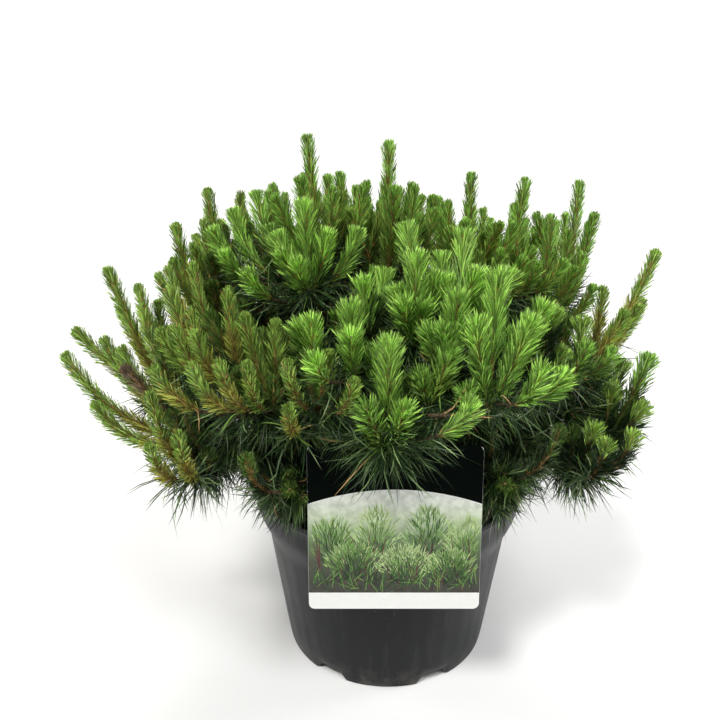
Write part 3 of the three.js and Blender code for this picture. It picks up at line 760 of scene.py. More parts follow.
def needle_material(name):
    base = linear(NEEDLE_COLOURS[name])
    shader = Shader("needles_" + name, base, roughness=0.38,
                    specular=0.25 if name in SHADED_COLOURS else 0.55)
    # each needle gets a random tone, from a dark share of its base (painted shade) to a pale
    # whitish one (painted sheen)
    island = shader.node("ShaderNodeNewGeometry").outputs["Random Per Island"]
    pale = tuple(np.multiply(base, (2.4, 2.1, 2.2)))
    tone = shader.mixed(shader.maths("POWER", island, 1.5), shade(base, 0.2), pale)
    patches = shader.times(shader.spread(shader.noise(60.0, 2.0), 0.3, 0.7), 0.35)
    tone = shader.mixed(patches, tone, shade(base, 0.8))
    fibre = shader.noise(900.0, 2.0)
    tone = shader.mixed(shader.spread(fibre, 0.45, 0.75, 0.0, 0.3), tone, shade(base, 1.5))
    return shader.finish(tone, shader.spread(fibre, 0.2, 0.8, 0.34, 0.55), fibre,
                         strength=0.25, distance=0.0003)


def bark_material(name):
    colour, flake, scale, cracks = BARKS[name]
    base = linear(colour)
    shader = Shader(name, base, roughness=0.85, specular=0.25)
    broad = shader.noise(scale, 5.0, 0.6)
    fine = shader.noise(scale * 7, 3.0)
    plates = shader.cells(scale * 2.2, "DISTANCE_TO_EDGE")
    tone = shader.shaded(shader.spread(broad, 0.35, 0.68), base, 0.5, 1.35)
    tone = shader.mixed(shader.spread(plates, 0.0, 0.12, cracks, 0.0), tone, shade(base, 0.28))
    tone = shader.mixed(shader.spread(fine, 0.52, 0.75, 0.0, 0.6), tone, linear(flake))
    height = shader.plus(shader.spread(plates, 0.0, 0.2), shader.times(fine, 0.6))
    return shader.finish(tone, shader.spread(broad, 0.3, 0.7, 0.72, 0.95), height,
                         strength=0.7, distance=0.0012)


def pot_material():
    dark = linear((15, 17, 21))
    shader = Shader("pot_plastic", dark, roughness=0.46, specular=0.22)
    cloud = shader.noise(14.0, 4.0, 0.6)
    streaks = shader.noise(90.0, 3.0, 0.6, shader.stretched(0.06))
    scuffs = shader.noise(40.0, 5.0, 0.75, shader.stretched(5))
    dust = shader.times(shader.spread(shader.height(), 0.0, 0.03, 1.0, 0.0),
                        shader.spread(shader.noise(45.0, 4.0), 0.42, 0.7))
    specks = shader.times(shader.spread(shader.cells(210.0), 0.05, 0.13, 1.0, 0.0),
                          shader.spread(shader.noise(30.0, 2.0), 0.6, 0.66))
    tone = shader.shaded(shader.spread(cloud, 0.35, 0.7), dark, 0.85, 1.25)
    for share, colour in ((shader.spread(streaks, 0.55, 0.8, 0.0, 0.4), (66, 67, 69)),
                          (shader.times(dust, 0.55), (122, 116, 104)),
                          (specks, (108, 98, 84)),
                          (shader.spread(scuffs, 0.66, 0.74, 0.0, 0.35), (92, 93, 94))):
        tone = shader.mixed(share, tone, linear(colour))
    rough = shader.plus(shader.spread(cloud, 0.3, 0.7, 0.34, 0.46), shader.times(dust, 0.3))
    grain = shader.times(shader.noise(2600.0, 2.0), 0.25)
    relief = shader.plus(shader.times(streaks, 0.8), grain)
    return shader.finish(tone, rough, relief, strength=0.35, distance=0.0006)


def soil_material(name, colour):
    base = linear(colour)
    shader = Shader(name, base, roughness=0.95, specular=0.2)
    lumps = shader.noise(160.0, 6.0, 0.65)
    fibres = shader.noise(700.0, 3.0, 0.6)
    tone = shader.shaded(shader.spread(lumps, 0.35, 0.7), base, 0.4, 1.6)
    tone = shader.mixed(shader.spread(fibres, 0.62, 0.75, 0.0, 0.6), tone, linear((122, 92, 62)))
    return shader.finish(tone, shader.spread(lumps, 0.3, 0.7, 0.85, 1.0),
                         shader.plus(lumps, fibres), strength=0.8, distance=0.0015)


def print_material(name, colour, variation=0.12, roughness=0.28, specular=0.4):
    base = linear(colour)
    shader = Shader("print_" + name, base, roughness, specular)
    tone = shader.shaded(shader.spread(shader.noise(420.0, 3.0), 0.3, 0.7), base, 1 - variation,
                         1 + variation)
    rough = shader.spread(shader.noise(70.0, 4.0), 0.3, 0.7, roughness, roughness + 0.12)
    return shader.finish(tone, rough, shader.noise(55.0, 2.0), strength=0.06, distance=0.001)


# ------------------------------------------------------------------ needles

# Needles: how far past the model's box one may end, how far off the pot it stays, how far an old
# one sways, how far it turns on itself, how its first bend lies with one bend and with more, and
# how wide it is at its foot.
NEEDLE = Facts(past=6, off_pot=1.5, sway=0.52, roll=1.2, first_bend=0.27, even_bends=0.75,
               foot=0.75)
# needles may hang over the card's middle down to here, as far as seen from before it
FRINGE = Facts(middle=-2, inner=52, outer=76, low=266, high=336, view=0.445, beside=2)
# A shoot's spray: where it starts, the least share that bears it, where it ends before its tip,
# how its pairs turn, how needles wander and lean, how long and wide they are, where the upper
# colour starts, how many make up the brush and how deep it is, and how level it ends.
SPRAY = Facts(start=0.02, least=0.55, before_tip=0.36, pair=0.35, wander=0.25, lean_power=1.6,
              lean=5, lengths=(0.86, 1.06), first_length=0.84, full_from=0.2, split=(0.42, 0.62),
              brush=20, brush_depth=9, brush_lean=5, level=(0.92, 1.06), widths=(0.92, 1.3),
              inward=(-0.04, 0.12), lift=1.3)
# the short needles of the slender shoots are also narrower
SHORT, THIN = 20, 0.84
HUSK = Facts(per_mm=1.4, angles=(14, 34), lengths=(4, 8), widths=(1.3, 2.0), lift=0.9)
OLD = Facts(power=0.8, wander=17, lengths=(0.62, 1.08), widths=(0.88, 1.25), inward=(-0.05, 0.4))
# old needles' colours by share: old and tan are their own, deep and dim are painted shade inside
# the crown
OLD_AND_SHADE_COLOURS = (("old", 0.26), ("deep", 0.627), ("dim", 0.107), ("tan", 0.006))

rng = np.random.default_rng(5)
sprays = {name: [] for name in NEEDLE_COLOURS}
tips_low = np.array(cad_low) / MM - NEEDLE.past
tips_high = np.array(cad_high) / MM + NEEDLE.past


def blades(paths, sides, widths):
    """Flat blades along paths of points, each ending in a point, as (vertices, faces)."""
    count, steps = paths.shape[:2]
    along = unit(paths[:, 1] - paths[:, 0])
    sides = unit(sides - along * np.einsum("nk,nk->n", sides, along)[:, None])
    half = (sides * widths[:, None] / 2)[:, None]
    half = half * np.linspace(NEEDLE.foot, 1.0, steps - 1)[None, :, None]
    body = paths[:, :-1]
    rows = np.stack([body - half, body + half], axis=2)
    vertices = np.concatenate([rows.reshape(count, -1, 3), paths[:, -1:]], axis=1)
    last = (steps - 2) * 2
    pattern = []
    for a in range(0, last, 2):
        pattern += [(a, a + 1, a + 3), (a, a + 3, a + 2)]
    pattern.append((last, last + 1, last + 2))
    starts = np.arange(count)[:, None, None] * (last + 3)
    return vertices.reshape(-1, 3), (np.array(pattern)[None] + starts).reshape(-1, 3)


def hides_card(points):
    """Whether points hang before the card and below the fringe that its middle has."""
    x, y, z = points.T
    ahead = card_back(z) - y
    before = (ahead > 0) & (np.abs(x - LABEL.middle) < LABEL.width / 2 + FRINGE.beside)
    side = smoothstep(np.abs(x - FRINGE.middle), FRINGE.inner, FRINGE.outer)
    return before & (z - ahead * FRINGE.view < lerp(FRINGE.low, FRINGE.high, side))


def add_needles(colour, ctrl, places, azimuths, angles, lengths, widths, inward=0.0, droop=0.0,
                bends=1, lift=0.0):
    """Needles that leave a curve at an angle, turn towards it and sag."""
    count = len(places)
    inward, droop = np.broadcast_to(inward, count), np.broadcast_to(droop, count)
    axes = curve_tangent(ctrl, places)
    across = unit(np.cross(axes, OFF_LINE))
    beside = np.cross(axes, across)
    out = np.cos(azimuths)[:, None] * across + np.sin(azimuths)[:, None] * beside
    rounded = np.cross(axes, out)
    roots = curve_point(ctrl, places) + out * lift
    start = np.cos(angles)[:, None] * axes + np.sin(angles)[:, None] * out
    sway = np.where(droop != 0, rng.normal(0, NEEDLE.sway, count), 0)
    turn = inward[:, None] * axes - droop[:, None] * UP + sway[:, None] * rounded
    power = NEEDLE.first_bend if bends == 1 else NEEDLE.even_bends
    paths = np.stack([roots + (start * share + turn * share * share) * lengths[:, None]
                      for share in np.linspace(0, 1, bends + 2) ** power], axis=1)
    roll = rng.uniform(-NEEDLE.roll, NEEDLE.roll, count)[:, None]
    sides = rounded * np.cos(roll) + np.cross(start, rounded) * np.sin(roll)
    tips = paths[:, -1]
    keep = clear_of_pot(paths, NEEDLE.off_pot) & ~((droop != 0) & hides_card(tips))
    keep &= np.all((tips > tips_low) & (tips < tips_high), axis=1)
    if keep.any():
        sprays[colour].append(blades(paths[keep], sides[keep], widths[keep]))


def woody_share(shoot, reach):
    """How much of a shoot is stem, before its last needles and their brush."""
    return max(SPRAY.least, 1 - SPRAY.before_tip * reach / shoot.length)


def clothe(shoot, low, top, size=1.0):
    """A shoot's needles: a lower spray, a brighter upper one, and a brush that ends level; the
    lower's darker colour is partly painted shade and the upper's brighter one partly painted light
    on its lit top.
    """
    look = LOOKS[shoot.mass.look]
    ctrl, length = shoot.ctrl, shoot.length
    reach = look.length * size
    bare = shoot.bare or SPRAY.start
    woody = woody_share(shoot, reach)
    count = int(length * (woody - bare) * look.per_cm * size / 10)
    order = (np.arange(count) + 0.5) / count
    places = bare + order * (woody - bare)
    azimuths = np.arange(count) // 2 * GOLDEN_TURN + (np.arange(count) % 2) * SPRAY.pair
    azimuths = azimuths + rng.normal(0, SPRAY.wander, count)
    angles = lerp(look.foot, look.tip, order ** SPRAY.lean_power)
    angles = angles + rng.normal(0, SPRAY.lean, count)
    lengths = reach * rng.uniform(*SPRAY.lengths, count)
    lengths = lengths * lerp(SPRAY.first_length, 1, smoothstep(order, 0, SPRAY.full_from))
    split = rng.uniform(*SPRAY.split)
    # the right side's darker lower colour reaches higher: painted shade
    if shoot.mass.look == "right":
        split += RIGHT_SPLIT
    brush = int(SPRAY.brush + reach)
    brush_places = woody - rng.uniform(0, SPRAY.brush_depth, brush) / length
    brush_angles = np.sqrt(rng.uniform(0, 1, brush)) * (look.tip + SPRAY.brush_lean)
    for colour, part in ((low, order < split), (top, order >= split)):
        spots, leans, turns, sizes = (row[part] for row in (places, angles, azimuths, lengths))
        if colour == top:
            spots, leans = np.append(spots, brush_places), np.append(leans, brush_angles)
            turns = np.append(turns, rng.uniform(0, 2 * math.pi, brush))
            sizes = np.append(sizes, np.full(brush, reach))
        leans = np.radians(leans)
        level = (1 - spots) * length * np.cos(leans) ** look.dome
        level = level * rng.uniform(*SPRAY.level, len(spots))
        widths = rng.uniform(*SPRAY.widths, len(spots))
        add_needles(colour, ctrl, spots, turns, leans, np.minimum(sizes, level),
                    widths * (THIN if look.length < SHORT else 1),
                    rng.uniform(*SPRAY.inward, len(spots)), lift=SPRAY.lift)
    husks = int(length * (woody - bare) * HUSK.per_mm)
    add_needles("sheath", ctrl, rng.uniform(bare, woody, husks),
                rng.uniform(0, 2 * math.pi, husks),
                np.radians(rng.uniform(*HUSK.angles, husks)),
                rng.uniform(*HUSK.lengths, husks), rng.uniform(*HUSK.widths, husks),
                bends=0, lift=look.stem * HUSK.lift)


def old_ruff(parent, start, end, count, length, spread=58, droop=(-0.06, 0.46),
             colours=OLD_AND_SHADE_COLOURS):
    """Last year's long needles, spread wide and sagging at their ends."""
    places = lerp(start, end, rng.uniform(0, 1, count) ** OLD.power)
    angles = np.radians(rng.normal(spread, OLD.wander, count))
    lengths = length * rng.uniform(*OLD.lengths, count)
    picks = rng.choice(len(colours), count, p=[share for _, share in colours])
    azimuths = rng.uniform(0, 2 * math.pi, count)
    for index, (colour, _) in enumerate(colours):
        part = picks == index
        if part.any():
            add_needles(colour, parent.ctrl, places[part], azimuths[part], angles[part],
                        lengths[part], rng.uniform(*OLD.widths, part.sum()),
                        rng.uniform(*OLD.inward, part.sum()),
                        rng.uniform(*droop, part.sum()), 2)


# Rays to the sky from a shoot's tip: how many, how wide, how low they start, between which
# distances another shoot counts, how its weight falls off, and the most that one point hides.
SKY = Facts(rays=48, width=16, lowest=0.25, near=9, far=190, fall=20, most=0.06)
# a shoot in the open wears its look's colours, and one under others wears darker ones: painted
# shade
OPEN_SHARE, DIM_SHARE = 0.42, 0.27
# painted shade on the right: its shoots count as this much more hidden, and their darker lower
# colour reaches this much higher
RIGHT_SHADE, RIGHT_SPLIT = 0.2, 0.12
LIT_MASSES = ("far_left", "left_mid", "right_arch")
TUFTS = ("left_tuft", "right_tuft")
# the darker tones of a half-hidden shoot, and those of a deeply hidden one: painted shade
DARKER = {"bright": "fresh", "fresh": "mid", "mid": "dim", "olive": "dim", "dim": "deep"}
SHADED = "deep", "dim"
# the lower needles of this share of the left shoots are mid green
LEFT_MID = 0.5
BARE_FOOT = {"right_stem": 0.3}
# a finer shoot's needles are shorter and fewer, and those of the dead one still more so
FINE_SIZE, DEAD_SIZE = 0.9, 0.85


def shelter(shoots):
    """The share of the sky that other shoots hide from each shoot's tip."""
    points = np.concatenate([shoot.path[4:] for shoot in shoots])
    turns = np.arange(SKY.rays) * GOLDEN_TURN
    height = lerp(SKY.lowest, 1, (np.arange(SKY.rays) + 0.5) / SKY.rays)
    level = np.sqrt(1 - height ** 2)
    rays = np.column_stack([level * np.cos(turns), level * np.sin(turns), height])
    hidden = np.zeros(len(shoots))
    for number, shoot in enumerate(shoots):
        apart = points - shoot.ctrl[2]
        far = np.linalg.norm(apart, axis=1)
        apart = apart[(far > SKY.near) & (far < SKY.far)]
        along = apart @ rays.T
        aside = np.linalg.norm(apart, axis=1)[:, None] ** 2 - along ** 2
        near = (along > 0) & (aside < SKY.width ** 2)
        shares = (near / (SKY.fall + along.clip(0))).sum(axis=0)
        hidden[number] = shares.clip(max=SKY.most).sum()
    return hidden


every_shoot = shoots_planned + fine_shoots
ranks = np.argsort(np.argsort(shelter(every_shoot))) / len(every_shoot)
# painted shade: a shoot whose tip loses more sky to others is dealt darker colours, and the whorls
# of LIT_MASSES keep their open ones
for shoot, rank in zip(every_shoot, ranks):
    name, look = shoot.mass.name, shoot.mass.look
    low, top = LOOKS[look].low, LOOKS[look].top
    main = shoot.kind == "shoot"
    if look == "right":
        rank = rank + RIGHT_SHADE
    if main and shoot.key < 10 and name in LIT_MASSES:
        rank = 0
    if main and shoot.key == 0 and name in BARE_FOOT:
        shoot.bare = BARE_FOOT[name]
    # the tufts' side shoots always wear the painted-shade tones
    if rank >= OPEN_SHARE + DIM_SHARE or (name in TUFTS and shoot.number):
        low, top = SHADED
    elif rank >= OPEN_SHARE:
        low, top = DARKER[low], DARKER[top]
    elif look == "left" and rng.uniform() < LEFT_MID:
        low = "mid"
    clothe(shoot, low, top, 1 if main else FINE_SIZE)
clothe(dead_shoot, "dead", "dead", DEAD_SIZE)

# last year's needles on stems and side twigs: from where to where, how many on a low limb and on
# another, and how long
RUFFS = {"stem": ((0.3, 0.7, 340, 280, 34), (0.7, 1.0, 400, 320, 38)),
         "twig": ((0.15, 1.0, 420, 220, 36),)}
# under the low front whorl and on the feet of shoots: from where to where, how many, how long,
# how wide they spread and how they droop
FRONT_RUFF = 0.86, 1.0, 280, 64, 82, (0.02, 0.3)
FRONT_FOOT, FOOT = (0.0, 0.2, 60, 52, 72, (0.0, 0.36)), (0.0, 0.2, 22, 34, 72, (0.0, 0.36))
# on hanging twigs: from where, how many to a millimetre, length, spread, droop and colours
HANGING_RUFFS = {"tan": (0.1, 0.42, 24, 16, (0.05, 0.3), (("tan", 1.0),)),
                 "old": (0.15, 3.5, 30, 58, (-0.12, 0.3), OLD_AND_SHADE_COLOURS),
                 "sprig": (0.1, 3, 27, 44, (-0.15, 0.25), OLD_AND_SHADE_COLOURS)}
# and on the foot of a finer shoot that is bare of new ones
BARE_RUFF = Facts(least=0.1, start=0.02, past=0.08, per_mm=1.3, length=34)
for parent in twigs:
    name = parent.mass.name
    for start, end, low, other, length in RUFFS.get(parent.kind, ()):
        old_ruff(parent, start, end, low if name in LOW_MASSES else other, length)
    if parent.kind == "stem" and name == "front_low":
        old_ruff(parent, *FRONT_RUFF)
for shoot in shoots_planned:
    old_ruff(shoot, *(FRONT_FOOT if shoot.mass.name == "front_low" else FOOT))
for parent in hanging_twigs:
    start, per_mm, *rest = HANGING_RUFFS[parent.kind]
    old_ruff(parent, start, 1.0, int(parent.length * per_mm), *rest)
for shoot in fine_shoots:
    if shoot.bare > BARE_RUFF.least:
        old_ruff(shoot, BARE_RUFF.start, shoot.bare + BARE_RUFF.past,
                 int(shoot.bare * shoot.length * BARE_RUFF.per_mm), BARE_RUFF.length)

mass_nodes = ["mass_" + row[0] for row in MASSES]
PIECE_LIMIT = 190000
for colour, parts in sprays.items():
    material = needle_material(colour)
    batches, size = [[]], 0
    for part in parts:
        if size + len(part[1]) > PIECE_LIMIT:
            batches.append([])
            size = 0
        batches[-1].append(part)
        size += len(part[1])
    for number, batch in enumerate(batches, 1):
        add_piece(f"needles_{colour}_{number}", batch, [material], mass_nodes)

# ------------------------------------------------------------------ bark

TRUNK_MESH = Facts(sides=60, rows=48, power=1.3, relief=16)
STEM_TUBE = Facts(tip=2.7, rings=48, sides=10)
# thinner tubes: the radii at their ends, their rings and sides, and how far a bare foot goes on
# into the needles
TWIG_TUBE, HANGING_TUBE, BARE_TUBE = (2.9, 2.1, 14, 8), (2.2, 1.4, 10, 6), (1.9, 1.5, 8, 6)
BARE_PAST = 0.04
# bark: how the furrows and the flakes are spaced, how deep they are, and how their depth grows
BARK = Facts(furrows=np.array([0.42, 0.42, 0.12]), flakes=0.9, furrow=0.7, flake=0.35, deepest=1.1,
             least=0.12, grows=0.05)
# a shoot's stem: a finer one's size, its points' spacing, and its girth at foot, top and tip
STEM = Facts(fine_reach=0.88, fine=0.72, step=8, least_steps=5, girth=(1.12, 0.85, 0.45), sides=5)
BUD = Facts(along=np.array([-1.6, 1.2, 2.8, 3.8]), radii=np.array([1.1, 1.5, 1.0, 0.2]), sides=6)
CUSHIONS = Facts(spacing=1.1, height=0.16)


def rough_bark(points, radius):
    """Long furrows and flakes, deeper on a thicker limb."""
    relief = (lattice_noise(points * BARK.furrows, 3) * BARK.furrow
              + lattice_noise(points * BARK.flakes, 8) * BARK.flake)
    return relief * min(BARK.deepest, BARK.least + radius * BARK.grows)


def leaf_cushions(points, radius):
    """The small knobs that needles stand on."""
    return lattice_noise(points * CUSHIONS.spacing, 21) * CUSHIONS.height * radius


def trunk_mesh():
    angles = np.radians(np.arange(TRUNK_MESH.sides) * 360 / TRUNK_MESH.sides)
    out = np.column_stack([np.cos(angles), np.sin(angles), 0 * angles])
    lobe = 1 + TRUNK.lobe_depth * np.cos(TRUNK.lobes * angles)
    rings = []
    for row in range(TRUNK_MESH.rows + 1):
        height = TRUNK.height * (row / TRUNK_MESH.rows) ** TRUNK_MESH.power
        flare = TRUNK.flare * math.exp(-height / TRUNK.flare_height) * lobe
        radius = lerp(TRUNK.foot, TRUNK.top, height / TRUNK.height) + flare
        ring = trunk_axis(height) + out * radius[:, None]
        rings.append(ring + out * rough_bark(ring, TRUNK_MESH.relief)[:, None])
    return skin(rings, [trunk_axis(0), trunk_axis(TRUNK.height)])


def stem_tube(limb):
    places = np.linspace(0, 1, STEM_TUBE.rings)
    radii = np.interp(places, [0, BOUGH.share, 1], [BOUGH.base, BOUGH.tip, STEM_TUBE.tip])
    return tube(curve_point(limb.ctrl, places), radii, STEM_TUBE.sides, rough_bark)


def thin_tube(limb, foot, tip, rings, sides, end=1):
    places = np.linspace(0, end, rings)
    return tube(curve_point(limb.ctrl, places), np.linspace(foot, tip, rings), sides, rough_bark)


limb_parts = [trunk_mesh()]
for twig in twigs:
    if twig.kind == "stem":
        limb_parts.append(stem_tube(twig))
    elif twig.kind == "twig":
        limb_parts.append(thin_tube(twig, *TWIG_TUBE))
limb_parts += [thin_tube(twig, *HANGING_TUBE) for twig in hanging_twigs]
limb_parts += [thin_tube(shoot, *BARE_TUBE, shoot.bare + BARE_PAST)
               for shoot in fine_shoots + [dead_shoot] if shoot.bare > BARE_RUFF.least]
bough_nodes = ["bough_" + row[0] for row in MASSES]
add_piece("limbs", limb_parts, [bark_material("bark")], ["trunk"] + bough_nodes)

stem_parts, bud_parts = [], []
for shoot in every_shoot + [dead_shoot]:
    look, main = LOOKS[shoot.mass.look], shoot.kind == "shoot"
    woody = woody_share(shoot, look.length * (1 if main else STEM.fine_reach))
    foot = 0 if main else shoot.bare
    steps = max(STEM.least_steps, int(shoot.length * (woody - foot) / STEM.step))
    girth = np.interp(np.arange(steps), [0, steps - 3, steps - 1], STEM.girth)
    points = curve_point(shoot.ctrl, np.linspace(foot, woody, steps))
    radii = look.stem * (1 if main else STEM.fine) * girth
    stem_parts.append(tube(points, radii, STEM.sides, leaf_cushions))
    if main:
        tip, along = curve_point(shoot.ctrl, woody), curve_tangent(shoot.ctrl, woody)
        bud_parts.append(tube(tip + along * BUD.along[:, None], BUD.radii, BUD.sides))
add_piece("twigs", stem_parts, [bark_material("stem_bark")], mass_nodes)
add_piece("buds", bud_parts, [bark_material("bud_skin")], mass_nodes)

# ------------------------------------------------------------------ pot and soil

# sides of the pot and the soil, how far past its edge a notch is eased, and the wall's flutes
POT_SIDES, SOIL_SIDES = 216, 160
NOTCH_EASE = 0.5
FLUTES = Facts(count=36, depth=0.16, fades_in=(14, 30), fades_out=(138, 152))
WALL_HEIGHTS = 16, 22, 30, 50, 80, 110, 130, 140, *range(146, 194, 4), 200, 208
INNER_HEIGHTS = 210, 200, 188, 170, 150, 80, 16
# the soil's underside, where its side stands off the wall, its edge, and its surface: rings by
# their share of the edge, how low it lies, and how it heaves (spacing, seed and height)
SOIL_FOOT = (60, 5.3), (93, 5.3), (96, 15.3), (115, 15.3)
SOIL_WALL, SOIL_EDGE, SOIL_RINGS, SOIL_SINK = (150, 2.8), 197.0, (0.985, 0.02, 44), 1.2
HEAVES = (21, 2, 2.2), (6.5, 4, 1.5), (2.6, 6, 0.6)
CHIPS = Facts(count=900, size=(1.2, 4.6), width=(0.4, 0.9), height=(0.2, 0.5), ragged=(0.65, 1.1),
              tilt=0.35, off_edge=8, inmost=0.04, lies=(-0.4, 1.6))


def wall_radius(height):
    collar = smoothstep(height, POT.collar_start, POT.collar_end)
    return POT.foot + POT.slope * height + POT.collar_step * collar


def build_pot():
    bearings = POT.foot_turn + np.arange(POT_SIDES) * 360 / POT_SIDES
    pitch = 360 / POT.feet
    from_notch = np.abs(np.mod(bearings - POT.foot_turn, pitch) - pitch / 2)
    into_notch = POT.notch_half + NOTCH_EASE - from_notch
    lift = POT.notch_depth * smoothstep(into_notch, 0, POT.notch_slope)
    flutes = np.cos(np.radians(bearings * FLUTES.count)) * FLUTES.depth
    pad, foot, top = POT.pad, POT.foot, POT.height
    rim = wall_radius(top)
    lip = rim + POT.lip
    profile = [(pad / 2, 0), (pad, 0), (pad + 0.4, lift), (foot - 3, lift),
               (foot - 1.3, lift + 0.4), (foot - 0.4, lift + 1.3), (foot, lift + 3)]
    for height in WALL_HEIGHTS:
        fade = smoothstep(height, *FLUTES.fades_in)
        fade = fade * (1 - smoothstep(height, *FLUTES.fades_out))
        profile.append((wall_radius(height) + flutes * fade, height))
    profile += [(rim - 0.2, top - 9.5), (rim + 0.6, top - 8.4), (lip - 1, top - 7.8),
                (lip - 0.25, top - 7.1), (lip, top - 6), (lip, top - 1.6),
                (lip - 0.35, top - 0.6), (lip - 1.2, top), (rim - 1.4, top),
                (rim - 2.1, top - 0.3), (rim - POT.wall, top - 1.2)]
    profile += [(wall_radius(height) - POT.wall, height) for height in INNER_HEIGHTS]
    profile += [(pad - 3, 15), (pad - 6, 5), (pad / 2, 5)]
    add_piece("pot_wall", [lathe(profile, bearings)], [pot_material()], ["pot"])


def soil_chip(edge):
    """A flat ragged chip of bark, turned and tilted, somewhere on the soil."""
    cube = np.array([(x, y, z) for x in (-1, 1) for y in (-1, 1) for z in (-1, 1)], float)
    quads = np.array([(0, 1, 3, 2), (4, 6, 7, 5), (0, 4, 5, 1), (2, 3, 7, 6), (0, 2, 6, 4),
                      (1, 5, 7, 3)])
    size = rng.uniform(*CHIPS.size)
    size = size * np.array([1, rng.uniform(*CHIPS.width), rng.uniform(*CHIPS.height)])
    corners = cube * size * rng.uniform(*CHIPS.ragged, (8, 3))
    turn, tilt = rng.uniform(0, 2 * math.pi), rng.normal(0, CHIPS.tilt)
    corners = corners @ np.array([[math.cos(turn), math.sin(turn), 0],
                                  [-math.sin(turn), math.cos(turn), 0], [0, 0, 1]])
    corners = corners @ np.array([[1, 0, 0], [0, math.cos(tilt), math.sin(tilt)],
                                  [0, -math.sin(tilt), math.cos(tilt)]])
    radius = (edge - CHIPS.off_edge) * math.sqrt(rng.uniform(CHIPS.inmost, 1))
    bearing = rng.uniform(0, 2 * math.pi)
    place = np.array([radius * math.cos(bearing), radius * math.sin(bearing),
                      SOIL_TOP + rng.uniform(*CHIPS.lies)])
    return corners + place, quads


def build_soil():
    bearings = np.arange(SOIL_SIDES) * 360 / SOIL_SIDES
    angles = np.radians(bearings)
    edge = wall_radius(SOIL_TOP) - POT.wall - GAP
    height, inward = SOIL_WALL
    profile = [*SOIL_FOOT, (wall_radius(height) - inward, height), (edge, SOIL_EDGE)]
    for radius in edge * np.linspace(*SOIL_RINGS):
        points = radius * np.column_stack([np.cos(angles), np.sin(angles), 0 * angles])
        heave = sum(lattice_noise(points / spacing, seed) * rise for spacing, seed, rise in HEAVES)
        profile.append((radius, SOIL_TOP - SOIL_SINK + heave))
    add_piece("soil_surface", [lathe(profile, bearings)],
              [soil_material("soil_peat", (58, 44, 33))], ["soil"])
    add_piece("soil_chips", [soil_chip(edge) for _ in range(CHIPS.count)],
              [soil_material("soil_chips", (92, 66, 45))], smooth=False)


build_pot()
build_soil()

# ------------------------------------------------------------------ card

CARD_LOW = POT.height - LABEL.below_rim
CARD_HALF = LABEL.width / 2
# the picture's foot, the arch of its top, how far its strokes keep from its edges, and where its
# panels and the pale line over it lie: in from the card's edge, and out from its back
PICTURE = Facts(low=18, top=128, falls=15, beside=0.8, above=0.4, below=0.6, line=0.5,
                panel_place=(0.15, 1.03), line_place=(0.6, 1.3))
INKS = {"leaf_dark": (24, 42, 22), "leaf": (52, 88, 38), "leaf_light": (108, 150, 70),
        "leaf_pale": (180, 204, 140), "stalk": (84, 46, 44)}
LEAVES = "leaf_dark", "leaf", "leaf_light", "leaf_pale"
GRASSES = "leaf", "leaf_light", "leaf_dark"
# strokes of a shrub, its stalks, and grasses in the foreground
SHRUB_LEAVES, SHRUB_STALKS, GRASS_BLADES = 420, 5, 160
# rounded shrubs, back to front: centre, foot, width and height
SHRUBS = [(-62, 44, 30, 52), (-18, 50, 26, 58), (34, 46, 30, 62), (70, 40, 24, 56),
          (-40, 26, 34, 44), (12, 24, 36, 42), (56, 22, 32, 40)]
# the picture's ground, from dark undergrowth to pale haze, by the card's height in metres
HAZE = Facts(heights=(0.175, 0.272), blotches=(70, 92, 58),
             stops=[(0.0, (46, 40, 36)), (1.0, (232, 236, 228)), (0.3, (62, 66, 48)),
                    (0.55, (104, 126, 84)), (0.78, (196, 208, 180))])


def on_card(mesh):
    """A mesh in card coordinates (across, up, out of its back), set in the row frame."""
    angle = math.radians(90 - LABEL.lean)
    x, y, z = np.asarray(mesh[0], float).T
    return np.column_stack([
        x + LABEL.middle, y * math.cos(angle) - z * math.sin(angle) + card_back(CARD_LOW),
        y * math.sin(angle) + z * math.cos(angle) + CARD_LOW]), mesh[1]


def card_ring(inset, depth):
    """The card's rounded outline at one depth."""
    top, corner = LABEL.length, LABEL.corner
    points = []
    for x, y, start in ((CARD_HALF - corner, corner, -90), (CARD_HALF - corner, top - corner, 0),
                        (corner - CARD_HALF, top - corner, 90), (corner - CARD_HALF, corner, 180)):
        for angle in np.radians(start + np.arange(9) * 11.25):
            points.append((x + (corner - inset) * math.cos(angle),
                           y + (corner - inset) * math.sin(angle), depth))
    return np.array(points)


def tongue_body():
    """The bent strip that hooks the card over the rim."""
    over = POT.height + GAP
    front = card_back(over) - GAP
    back = -wall_radius(POT.height) + POT.wall + LABEL.tongue_inset
    drop = over - LABEL.tongue_drop
    outer = [(front, over + 1), (back - 0.6, over + 1), (back + 0.3, over + 0.85),
             (back + 0.85, over + 0.3), (back + 1, over - 0.6), (back + 1, drop)]
    inner = [(front, over), (back - 0.6, over), (back - 0.2, over - 0.1),
             (back - 0.05, over - 0.3), (back, over - 0.8), (back, drop)]
    vertices = [(LABEL.middle + side * LABEL.tongue_width / 2, y, z)
                for side in (-1, 1) for y, z in outer + inner]
    count = len(outer)
    right = 2 * count
    faces = []
    for near in range(count - 1):
        far, inside = near + 1, count + near
        faces += [(near, far, right + far, right + near),
                  (inside, right + inside, right + inside + 1, inside + 1),
                  (near, inside, inside + 1, far),
                  (right + near, right + far, right + inside + 1, right + inside)]
    faces += [(0, right, right + count, count),
              (count - 1, right - 1, 2 * right - 1, right + count - 1)]
    return np.array(vertices, float), np.array(faces)


def picture_top(across):
    return PICTURE.top - PICTURE.falls * (across / CARD_HALF) ** 2


